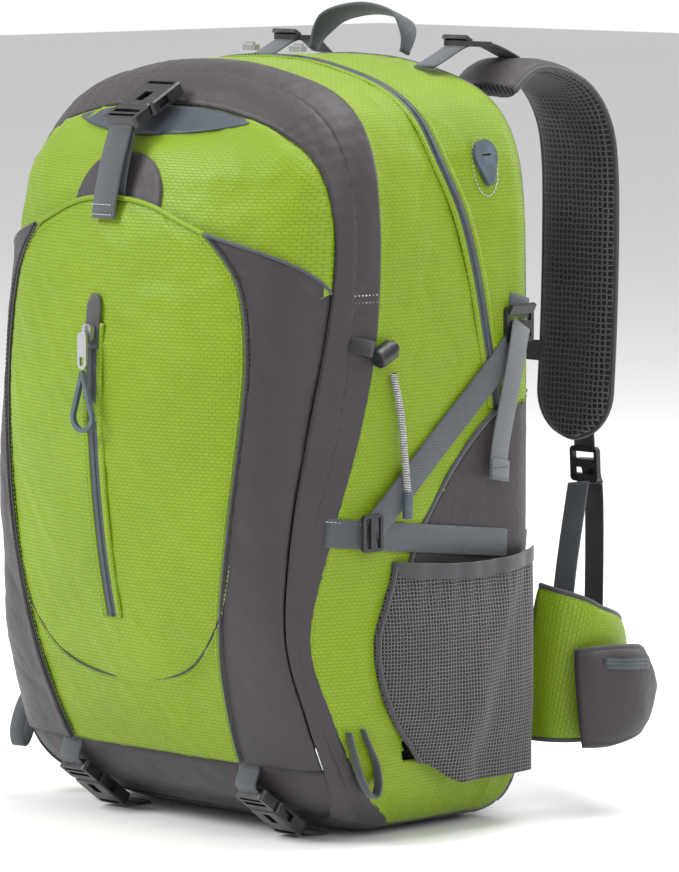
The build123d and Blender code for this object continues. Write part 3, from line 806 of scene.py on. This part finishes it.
def pillow(name, middle, half_width, half_height, depth, material, body="pack", power=5.0, quilt=0.0):
    """A padded panel facing +Y with rounded corners; middle is its centre on the surface behind it."""
    rings, spokes = 14, 72
    verts, uvs, faces = [], [], []
    x0, y0, z0 = middle

    def rim(angle):
        c, s = math.cos(angle), math.sin(angle)
        return (math.copysign(abs(c) ** (2 / power), c) * half_width,
                math.copysign(abs(s) ** (2 / power), s) * half_height)

    for r in range(rings + 1):
        share = math.sin(math.pi / 2 * r / rings)
        for k in range(spokes):
            x, z = rim(2 * math.pi * k / spokes)
            x, z = x * share, z * share
            lift = depth * max(0.0, 1 - share ** 8) ** 0.5
            lift -= quilt * math.exp(-((z / 42 - round(z / 42)) * 14) ** 2) * min(1.0, lift)
            verts.append(Vector((x0 + x, y0 + lift, z0 + z)))
            uvs.append((x0 + x, z0 + z))
    for r in range(rings):
        for k in range(spokes):
            a, b = r * spokes + k, r * spokes + (k + 1) % spokes
            faces.append((a, b, b + spokes, a + spokes))
    faces.append(tuple(range(rings * spokes, (rings + 1) * spokes)))
    obj = new_object(name, verts, faces, material, body, uvs)
    edge = []
    for k in range(49):
        across, up = rim(2 * math.pi * k / 48)
        edge.append(Vector((x0 + across, y0 + 1.2, z0 + up)))
    tube(name + "_binding", edge, 2.0, BINDING, body, spacing=5.0, sides=6)
    return obj


PANEL = pillow("back_panel_cover", (0, 105.4, 262), 137, 234, 5.8, LINING, power=7.0)
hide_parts("back_panel")
for _side in (1, -1):
    PAD = pillow(
        f"back_pad_{tag(_side)}", (_side * 68, 111, 318), 47, 124, 10.5, AIR_MESH, quilt=2.2,
    )
LUMBAR = pillow("lumbar_pad", (0, 111, 112), 115, 54, 12.5, AIR_MESH, quilt=2.0)
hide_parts("back_pads")
YOKE = ribbon(
    "yoke_band", [(-124, 113.4, 484), (-60, 113.9, 484), (60, 113.9, 484), (124, 113.4, 484)],
    (0, 0, 1), 26, 4.0, CHARCOAL,
)
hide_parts("yoke")
for _z in (474, 494):
    stitch([(-120, 115.8, _z), (0, 116.2, _z), (120, 115.8, _z)], (0, 1, 0), "light")

# ---- the front pocket's seams, zip and closure ---------------------------------------------------
HEM = [(k / 20) * 2 - 1 for k in range(21)]
hem_line = []
for share in HEM:
    i = pocket_top(share)
    t = share * seam_share(i)
    hem_line.append(front(t, i, stand_off(t, i) + 0.4))
tube("pocket_hem", hem_line, 1.9, LIME, spacing=3.0)
stitch([p + Vector((0, -1.1, -6.5)) for p in hem_line], forward, "lime", wide=0.8)
for _side in (1, -1):
    wing_top, wing_seam = [], []
    for k in range(9):
        t, i, out = pocket_wing(_side)(k / 8, 1.0)
        wing_top.append(front(t, i, out + 0.3))
    for k in range(17):
        t, i, out = pocket_wing(_side)(0.0, k / 16)
        wing_seam.append(front(t, i, out + 0.4))
    tube(f"wing_top_{tag(_side)}", wing_top, 1.4, GREY_WEB, spacing=4.0, sides=6)
    tube(f"wing_seam_{tag(_side)}", wing_seam, 0.9, BINDING, spacing=5.0, sides=6)
    stitch([p + Vector((-_side * 3.4, -0.9, 0)) for p in wing_seam], forward, "lime")
    stitch([p + Vector((_side * 3.2, -0.6, 0)) for p in wing_seam], forward, "dark")

U_SEAM = [(112, 205), (98, 160), (62, 122), (0, 111), (-62, 122), (-98, 160), (-112, 205)]
tube("pocket_u_seam", [on_pocket(x, z, 0.1) for x, z in U_SEAM], 0.8, DARK_THREAD, sides=6)
stitch([on_pocket(x, z - 3.6, 1.0) for x, z in U_SEAM], forward, "lime")

zip_heights = [mix(ZIP_LOW_Z, ZIP_TOP_Z - 20, k / 12) for k in range(13)]
FRONT_ZIP = ribbon("front_zip", [on_pocket(0, z, 0.7) for z in zip_heights], (1, 0, 0), 11.0, 0.9, ZIP_TAPE)
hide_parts("front_zip_tape")
tube("front_zip_coil", [on_pocket(0, z, 1.2) for z in zip_heights], 1.3, ZIP_COIL, sides=6)
for _side in (1, -1):
    lip = [on_pocket(_side * 7.4, z, 1.0) for z in zip_heights]
    ribbon(f"front_zip_lip_{tag(_side)}", lip, (1, 0, 0), 5.4, 1.7, LIME)
    stitch([on_pocket(_side * 8.6, z, 2.1) for z in zip_heights], forward, "lime")
ribbon("front_zip_garage", [on_pocket(0, z, 1.9) for z in (346, 358, 371, ZIP_TOP_Z)], (1, 0, 0), 14.0, 1.4,
       BINDING, ends=lambda s: 1 - 0.5 * ease((s - 0.8) * 5))


def crescent(u, v):
    """The coated patch over the crest, between a flat lower edge and the crown's curve."""
    x = (2 * u - 1) * 86
    low, high = 11.0, float(LAST)
    for _ in range(20):
        middle = (low + high) / 2
        if shell(middle, smooth(FRONT_EDGE, middle)).x > max(4.0, abs(x)):
            low = middle
        else:
            high = middle
    top = low
    foot = station_on(494 + 9 * (x / 86) ** 2, lambda k: shell(k, smooth(FRONT_EDGE, k)).z)
    i = mix(min(foot, top - 0.05), top, v)
    t = x / max(4.0, shell(i, smooth(FRONT_EDGE, i)).x)
    p = front(max(-1.0, min(1.0, t)), i, 2.6)
    return p, (x, v * 30)


PATCH = grid("crest_patch", crescent, count(172), 10, SLATE, thick=1.0)
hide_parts("buckle_patch")


def tongue(u, v):
    half = 44 * math.sqrt(max(0.0, 1 - (0.98 * v) ** 3))
    x = (2 * u - 1) * half
    return on_front(x, 436 + 46 * v, 2.6), (x, 46 * v)


TONGUE = grid("pocket_tongue_flap", tongue, count(88), count(50), CHARCOAL, wrinkle=0.3)
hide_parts("pocket_tongue")

PLUG_BAR = (0, -142.8, 500.5)
strap_line = [(0, -160.5, 436), (0, -159.0, 447), (0, -155.5, 462), (0, -150.5, 480), PLUG_BAR]
FRONT_STRAP = ribbon("front_strap_web", strap_line, (1, 0, 0), 23, 2.0, GREY_WEB, None)
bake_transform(FRONT_STRAP)
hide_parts("front_strap")
tail = [(0, -139.5, 499), (0, -143.5, 482), (0, -147.5, 466), (0, -149.5, 452)]
STRAP_TAIL = ribbon("front_strap_tail", tail, (1, 0, 0), 21, 1.8, GREY_WEB, None)
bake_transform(STRAP_TAIL)
for _z in (439, 446):
    stitch([(-10, -161.6, _z), (0, -161.7, _z), (10, -161.6, _z)], (0, -1, 0), "light")

# ---- side walls: wedge panel, mesh pockets, straps and fittings ----------------------------------
SIDE_X = 163.3
WEDGE_TOP = [(-34, 150), (-28, 180), (-20, 204), (-8, 226), (24, 266), (60, 296), (104, 309)]
POCKET_EDGE = [(-14, 56), (-34, 70), (-48, 96), (-56, 125), (-57, 150), (-48, 178), (-40, 196)]
POCKET_BOW = 21.0


def table_at(table, share):
    """A point part of the way along a table of pairs."""
    at = share * (len(table) - 1)
    return smooth([p[0] for p in table], at), smooth([p[1] for p in table], at)


def side_pieces(side):
    name = tag(side)

    def wedge(u, v):
        y, top = table_at(WEDGE_TOP, u)
        low = 50 + 40 * ease((10 - y) / 44)
        z = mix(low, top, v)
        return on_side(y, z, 2.9, side), (y, z)

    grid(f"side_wedge_{name}", wedge, count(150, 6), count(230, 6), CHARCOAL, wrinkle=0.5)
    border = [on_side(y, z, 3.0, side) for y, z in WEDGE_TOP]
    tube(f"wedge_seam_{name}", border, 1.9, BINDING, sides=6)
    stitch([p + Vector((0, 2.2, -3.8)) for p in border], (side, 0, 0), "dark")

    def net(u, v):
        front_y, _ = table_at(POCKET_EDGE, v)
        y = mix(front_y, 101, u)
        z = mix(mix(55, 38, ease(u * 3)), 196 - 4 * math.sin(math.pi * u), v)
        bow = POCKET_BOW * math.sin(math.pi * min(1.0, max(0.0, u))) ** 0.55
        bow *= 0.30 + 0.70 * ease(v * 2.6)
        bow *= 1 - 0.22 * ease((v - 0.7) / 0.3)
        gather = math.sin(u * 60 + 4 * noise.noise(Vector((u * 5, side, 2))))
        gather *= 0.35 + 0.9 * ease((v - 0.75) * 4)
        crest = 3.2 * math.exp(-((u - 0.35 - 0.45 * v) * 9) ** 2)
        fold = crest - 2.4 * math.exp(-((u - 0.47 - 0.45 * v) * 9) ** 2)
        edge = min(1.0, 8 * u, 8 * (1 - u))
        x = SIDE_X + 1.0 + bow + (gather * 0.7 + fold) * edge
        return Vector((side * x, y, z)), (y + 0.4 * bow, z)

    mesh_pocket = grid(
        f"mesh_pocket_{name}", net, count(150), count(158), POCKET_MESH, thick=0.8,
    )
    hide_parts(f"side_pocket_{name}")
    rim = [net(k / 16, 0.985)[0] + Vector((side * 0.6, 0, 0)) for k in range(17)]
    band_piece = ribbon(f"mesh_band_{name}", rim, (0, 0, 1), 11, 1.8, BINDING)
    hem = [net(0.01, k / 10)[0] + Vector((side * 0.8, 0, 0)) for k in range(11)]
    tube(f"mesh_hem_{name}", hem, 1.6, BINDING, sides=6)

    def strap(piece, places, wide, cloth, out=0.0):
        points = [on_side(y, z, o, side) for y, z, o in places]
        run = points[-1] - points[0]
        return ribbon(f"{piece}_{name}", points, Vector((side, 0, 0)).cross(run), wide, 1.9, cloth)

    lower = [(-98, 224, 2.4), (-66, 220, 3.4), (0, 212.2, 4.4), (60, 205, 4.2), (100, 200.2, 2.6)]
    piece = strap("lower_compression", lower, 20, GREY_WEB)
    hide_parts("lower_compression_straps")
    stitch([on_side(y, z + 7.5, o + 1.2, side) for y, z, o in lower[:2]], (side, 0, 0), "light")
    up = [
        (-64, 224, 8.2), (-50, 235.6, 7.2), (0, 277.5, 5.6), (50, 319.4, 5.2), (72, 338, 4.6), (82, 349, 4.2),
    ]
    piece = strap("diagonal_strap", up, 20, GREY_WEB)
    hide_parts("diagonal_straps")
    strap("diagonal_anchor", [(84, 364, 4.4), (86, 371, 3.0), (88, 378, 2.0)], 20, GREY_WEB)
    swing = [
        (84, 358, 7.4), (79, 350, 10.2), (73, 330, 11.6), (66, 300, 10.6), (60, 272, 9.6), (56, 250, 11.6),
    ]
    strap("strap_tail", swing, 17, PALE_WEB)
    strap("strap_tail_fold", [(58.6, 264, 11.6), (56, 250, 13.4)], 17.4, PALE_WEB)
    stitch([on_side(57.5 + dy, 259, 13.4, side) for dy in (-7, 0, 7)], (side, 0, 0), "dark")

    anchor = [swap((160.5, -80, 353), side), swap((165.8, -72, 352), side), swap((168.2, -62, 349), side)]
    piece = ribbon(f"cord_ribbon_{name}", anchor, (0, 0.3, 1), 11, 1.8, BLACK_WEB)
    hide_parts("cord_anchors")
    loop = [(-79, 83), (-75, 66), (-69, 48), (-60, 36), (-54, 42), (-55, 58), (-61, 72), (-66, 84)]
    hang, swing = (5, 0) if side > 0 else (24, 12)
    points = []
    for k, (y, z) in enumerate(loop):
        lean = math.sin(math.pi * k / 7)
        points.append(swap((SIDE_X - 3 + hang * lean, y - swing * lean - (0 if side > 0 else 8), z), side))
    piece = ribbon(f"tool_loop_{name}", points, (side, -0.3, 0), 11, 1.8, GREY_WEB, spacing=3.0)
    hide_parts("tool_loops")
    ring = [(58 + 12 * math.cos(a * math.pi / 12), 469 + 20 * math.sin(a * math.pi / 12)) for a in range(25)]
    if side > 0:
        stitch([on_side(y, z, 2.6, side) for y, z in ring], (1, 0, 0.3), "light", wide=0.8)


for _side in (1, -1):
    side_pieces(_side)


def wedge_height(y):
    """Height of the wedge panel's top border at a depth, or 0 in front of it."""
    for (y0, z0), (y1, z1) in zip(WEDGE_TOP, WEDGE_TOP[1:]):
        if y0 <= y <= y1:
            return mix(z0, z1, (y - y0) / (y1 - y0))
    return WEDGE_TOP[-1][1] if y > WEDGE_TOP[-1][0] else 0.0


for _name in ("side_panel_front", "side_panel_back"):
    cut_away(
        bpy.data.objects[_name],
        lambda p: 58 < p.z < wedge_height(p.y) - 1.5 and p.y > WEDGE_TOP[0][0] + 8,
    )

# Pole cords: elastic, with a pale check, from the cord lock down to their moulded ends.
CORD_D = 5.0
CORD_ROUTE = [
    (168.6, -43.0, 331), (169.8, -39.5, 316), (171.6, -37.6, 298),
    (173.2, -37.0, 279), (174.6, -36.2, 262), (175.4, -35.4, 248),
]
for _side in (1, -1):
    curve = bpy.data.curves.new(f"pole_cord_{tag(_side)}", "CURVE")
    curve.dimensions = "3D"
    spline = curve.splines.new("NURBS")
    spline.points.add(len(CORD_ROUTE) - 1)
    for point, place in zip(spline.points, CORD_ROUTE):
        point.co = (*(swap(place, _side) * MM), 1)
    spline.order_u = 3
    spline.use_endpoint_u = True
    curve.bevel_depth = CORD_D / 2 * MM
    curve.bevel_resolution = 4
    curve.materials.append(CORD)
    cord = bpy.data.objects.new(f"pole_cord_{tag(_side)}", curve)
    bpy.context.scene.collection.objects.link(cord)
    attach(cord, "pack")
    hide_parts("pole_cords")
    x, y, z = CORD_ROUTE[-1]
    end = tube(f"cord_end_{tag(_side)}", [swap((x, y, z + 1), _side), swap((x, y, z - 9), _side),
               swap((x, y, z - 18), _side)], 3.6, GRIP, sides=10)
    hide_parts("cord_tabs")

# ---- base buckles' webbing -----------------------------------------------------------------------
for _side in (1, -1):
    low = [(_side * 92, -66.5, 5.6), (_side * 92, -56, 2.6), (_side * 92, -42, 1.6)]
    stub = ribbon(f"base_web_low_{tag(_side)}", low, (1, 0, 0), 20, 1.8, GREY_WEB)
    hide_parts("base_webbing")
    high = [
        (_side * 92, -105.4, 34.6), (_side * 92, -112, 42),
        on_front(_side * 92, 54, 1.5), on_front(_side * 92, 62, 0.6),
    ]
    stub = ribbon(f"base_web_high_{tag(_side)}", high, (1, 0, 0), 20, 1.8, GREY_WEB, None)
    f"base_plug_{tag(_side)}"
    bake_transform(stub)


# ---- harness -------------------------------------------------------------------------------------
def padded_band(name, line, across, widths, thickness, outer, inner, body, dimples=0.0, tip=0.0):
    """Foam in cloth along a curve, its outer face one cloth and its inner face another.

    widths is a table of widths along it; tip rounds off its last end over that length."""
    points = resample(line, 4.5)
    lengths = path_lengths(points)
    total = lengths[-1]
    across = Vector(across).normalized()
    ring = 26
    verts, uvs, faces, edges = [], [], [], ([], [])
    for n, p in enumerate(points):
        run = (points[min(n + 1, len(points) - 1)] - points[max(n - 1, 0)]).normalized()
        side = (across - run * across.dot(run)).normalized()
        up = side.cross(run)
        wide = smooth(widths, (len(widths) - 1) * lengths[n] / total) / 2
        left = total - lengths[n]
        if tip and left < tip:
            wide *= math.sqrt(max(0.02, 1 - (1 - left / tip) ** 2))
        for k in range(ring):
            a = 2 * math.pi * k / ring
            c, s = math.cos(a), math.sin(a)
            share = math.copysign(abs(c) ** 0.72, c)
            lift = math.copysign(max(0.0, 1 - abs(share) ** 3.2) ** 0.55, s) * thickness / 2
            if dimples:
                away = (lengths[n] / 46 - round(lengths[n] / 46)) * 46
                lift *= 1 - dimples * math.exp(-(away ** 2 + (share * wide) ** 2) / 90)
            lift += 0.5 * noise.noise(p * 0.05 + Vector((share * 2, 0, s)))
            verts.append(p + side * share * wide + up * lift)
            uvs.append((share * wide, lengths[n]))
        edges[0].append(p + side * wide)
        edges[1].append(p - side * wide)
    for n in range(len(points) - 1):
        for k in range(ring):
            a, b = n * ring + k, n * ring + (k + 1) % ring
            faces.append((a, b, b + ring, a + ring))
    faces.append(tuple(reversed(range(ring))))
    faces.append(tuple(range((len(points) - 1) * ring, len(points) * ring)))
    obj = new_object(name, verts, faces, outer, body, uvs)
    obj.data.materials.append(inner)
    for k, poly in enumerate(obj.data.polygons):
        poly.material_index = 1 if (k % ring) < ring // 2 else 0
    rim = edges[0] + list(reversed(edges[1])) if tip else edges[0]
    tube(name + "_binding", rim, 2.1, BINDING, body, spacing=5.0, sides=6)
    if not tip:
        tube(name + "_binding_low", edges[1], 2.1, BINDING, body, spacing=5.0, sides=6)
    return obj


NEAR_LINE = [
    (116, 520), (138, 535), (166, 533), (192, 520), (210, 496),
    (217, 464), (218, 410), (216, 340), (211, 264),
]
FAR_LINE = [(116, 520), (132, 533), (148, 522), (161, 496), (176, 450), (192, 395), (205, 330), (211, 264)]
STRAP_X = 100.0
for _side, _line in ((1, NEAR_LINE), (-1, FAR_LINE)):
    name = tag(_side)
    pad = padded_band(
        f"shoulder_pad_{name}", [(_side * STRAP_X, y, z) for y, z in _line], (-1, 0, 0),
        [62, 70, 72, 72, 72], 14, CHARCOAL, AIR_MESH, "harness_" + name,
        dimples=0.35, tip=34,
    )
    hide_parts("shoulder_strap_" + name)
    wing_line = [
        (_side * 120, 168, 96), (_side * 116, 180, 125), (_side * 109, 196, 176), (_side * STRAP_X, 217, 230),
    ]
    web = ribbon(f"adjuster_web_{name}", wing_line, (1, 0, 0), 20, 1.8, GREY_WEB, None)
    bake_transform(web)
    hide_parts("adjuster_webbing_" + name)
    hang = [
        (_side * 100, 227, 247), (_side * 101, 232, 225), (_side * 104, 230, 180), (_side * 107, 226, 128),
    ]
    # The hanging tail is the grey adjuster webbing come through the lock, drawn in black webbing as painted
    # shade where it hangs in shadow behind the strap.
    ribbon(f"shaded_adjuster_tail_{name}", hang, (1, 0, 0), 18, 1.8, BLACK_WEB, "harness_" + name)
    top = [(_side * 100, 218, 282), (_side * 100, 222, 268), (_side * 100, 223.5, 252)]
    ribbon(f"lock_web_{name}", top, (1, 0, 0), 20, 1.8, BLACK_WEB, "harness_" + name)

    def wing(u, v, side=_side):
        y = mix(118, 172, u)
        z = mix(mix(66, 84, u), mix(160, 106, u), v)
        return Vector((side * (121 + 1.5 * math.sin(math.pi * u)), y, z)), (y, z)

    piece = grid(f"anchor_wing_{name}", wing, 8, 12, CHARCOAL, thick=3.0)
    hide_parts("anchor_wings")
    lift = [
        (_side * 88, 68, 537.5), (_side * 88, 84, 544.2), (_side * 88, 98, 550.4), (_side * 88, 106, 552.6),
    ]
    web = ribbon(f"load_lifter_low_{name}", lift, (1, 0, 0), 20, 1.8, GREY_WEB)
    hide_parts("load_lifter_webbing")
    over = [
        (_side * 88, 116, 553.5), (_side * 91, 127, 552), (_side * 95, 138, 547), (_side * 98, 148, 541.5),
    ]
    web = ribbon(f"load_lifter_high_{name}", over, (1, 0, 0), 20, 1.8, GREY_WEB, None)
    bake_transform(web)

HANDLE = [(-47, 545.5), (-45, 560), (-33, 573), (0, 579), (33, 573), (45, 560), (47, 545.5)]
HANDLE_PIVOT = Vector((0, 90, 548))
lean = math.radians(22)
handle_line = [
    Vector((x, HANDLE_PIVOT.y + math.sin(lean) * (z - 548), 548 + math.cos(lean) * (z - 548)))
    for x, z in HANDLE
]
grab = ribbon(
    "grab_handle_web", handle_line, (0, math.cos(lean), -math.sin(lean)), 21, 2.8, GREY_WEB,
    "grab_handle", 3.0, ends=lambda s: 0.42 + 0.58 * ease(min(s, 1 - s) * 5),
)
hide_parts("haul_handle")

chest = ribbon(
    "chest_web_left", [(-70, 212.5, 325), (-48, 212, 325), (-25, 212, 325)],
    (0, 0, 1), 15, 1.8, BLACK_WEB, "harness_left",
)
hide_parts("sternum_webbing_left")
chest = ribbon(
    "chest_web_right", [(26, 212, 325), (40, 212, 325), (70, 212.5, 325)],
    (0, 0, 1), 15, 1.8, BLACK_WEB, None,
)
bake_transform(chest)
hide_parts("sternum_webbing_right")

# ---- hip belt ------------------------------------------------------------------------------------
FIN_LINE = [(135, 131), (156, 137), (169, 153), (170, 176), (158, 199), (136, 218), (106, 232)]
FIN_MIDDLE = [110, 107, 103, 101, 100, 99, 97]
FIN_WIDTH = [112, 106, 94, 82, 66, 50, 34]
BELT_POCKET = [(175, 138), (184, 146), (189.5, 162), (189.5, 182), (181, 204)]
BELT_WEB = [(106, 239), (84, 246), (58, 249.2), (28, 250)]
for _side in (1, -1):
    name = tag(_side)
    body = "belt_" + name
    line = [(_side * x, y, z) for (x, y), z in zip(FIN_LINE, FIN_MIDDLE)]
    turn = (0, 0, 1) if _side > 0 else (0, 0, -1)
    fin = padded_band(
        f"hip_wing_{name}", line, turn, FIN_WIDTH, 12, LIME, AIR_MESH, body, tip=10,
    )
    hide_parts("hip_fin_" + name)
    line = [(_side * x, y, z) for (x, y), z in zip(BELT_POCKET, (86, 87, 88, 89, 90))]
    pouch = padded_band(f"belt_pouch_{name}", line, turn, [68, 70, 67, 62, 50], 16, CHARCOAL, CHARCOAL,
                        body, tip=12)
    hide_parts("hip_pocket_" + name)
    zip_line = [
        (_side * 191, 147, 112), (_side * 197, 158, 111), (_side * 198.2, 172, 110), (_side * 194, 192, 108),
    ]
    ribbon(f"belt_zip_{name}", zip_line, (0, 0, 1), 8, 1.4, ZIP_TAPE, body)
    tube(f"belt_zip_coil_{name}", [Vector(p) + Vector((_side * 0.8, 0, 0)) for p in zip_line], 1.2, ZIP_COIL,
         body, sides=6)
    web = ribbon(f"belt_web_{name}", [(_side * x, y, 95) for x, y in BELT_WEB], (0, 0, 1), 25, 1.8, BLACK_WEB,
                 body)
    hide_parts("hip_webbing_" + name)

# ---- finishes of the hard fittings ---------------------------------------------------------------
FINISHES = {
    "front_zip_slider": SILVER, "front_zip_pull": SILVER, "front_zip_grip": GRIP,
    "main_zip_slider_right": SILVER, "main_zip_slider_left": SILVER,
    "earphone_port": GRIP,
}
for _name, _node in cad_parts.items():
    _node.data.materials.clear()
    _node.data.materials.append(FINISHES.get(_name, BUCKLE))


# ---- camera, light and floor ---------------------------------------------------------------------
def area_light(name, place, target, size, watts, colour=(1, 1, 1)):
    light = bpy.data.lights.new(name, "AREA")
    light.shape = "RECTANGLE"
    light.size = size[0]
    light.size_y = size[1]
    light.energy = watts
    light.color = colour
    obj = bpy.data.objects.new(name, light)
    obj.location = place
    obj.rotation_euler = (Vector(target) - Vector(place)).to_track_quat("-Z", "Y").to_euler()
    bpy.context.scene.collection.objects.link(obj)


def studio():
    mesh = bpy.data.meshes.new("floor")
    mesh.from_pydata([(-12, -12, 0), (12, -12, 0), (12, 12, 0), (-12, 12, 0)], [], [(0, 1, 2, 3)])
    floor = bpy.data.objects.new("floor", mesh)
    bpy.context.scene.collection.objects.link(floor)
    m = Nodes("pale floor", 0.85, specular=0.15)
    m.colour(m.ramp(m.noise(m.space(0.0004), 1.0, 2.0), (0.90, 0.90, 0.90), (0.93, 0.93, 0.93)))
    mesh.materials.append(m.material)
    world = bpy.data.worlds.new("studio")
    bpy.context.scene.world = world
    world.use_nodes = True
    world.node_tree.nodes["Background"].inputs["Color"].default_value = (1, 1, 1, 1)
    tree = world.node_tree
    seen = tree.nodes.new("ShaderNodeLightPath").outputs["Is Camera Ray"]
    strength = tree.nodes.new("ShaderNodeMapRange")
    strength.inputs["To Min"].default_value = 0.62
    strength.inputs["To Max"].default_value = 1.0
    tree.links.new(seen, strength.inputs["Value"])
    tree.links.new(strength.outputs["Result"], tree.nodes["Background"].inputs["Strength"])
    bpy.context.scene.view_settings.view_transform = "Standard"
    aim = (0, 0, 0.3)
    area_light("key", (-1.5, -2.6, 2.5), aim, (1.4, 1.4), 120)
    area_light("fill", (2.9, -0.6, 1.9), aim, (1.2, 1.6), 34)
    area_light("top", (0.3, 0.5, 2.6), aim, (1.6, 1.6), 60)
    area_light("back", (0.6, 2.6, 1.4), aim, (1.2, 1.6), 22)


def camera():
    lens = bpy.data.cameras.new("camera")
    lens.lens = 244.2
    lens.sensor_width = 36
    lens.clip_end = 60
    eye = bpy.data.objects.new("camera", lens)
    eye.location = (3.057, -2.919, 0.710)
    forward = Vector((0.006, 0.064, 0.268)) - eye.location
    eye.rotation_euler = forward.to_track_quat("-Z", "Y").to_euler()
    bpy.context.scene.collection.objects.link(eye)
    bpy.context.scene.camera = eye


studio()
camera()

for (shade, body), (verts, faces) in THREADS.items():
    thread = {"dark": DARK_THREAD, "light": LIGHT_THREAD, "lime": LIME_THREAD}[shade]
    cloth_uv = [(v.x, v.z) for v in verts]
    new_object(f"stitches_{shade}_{body}", verts, faces, thread, body, cloth_uv, False)
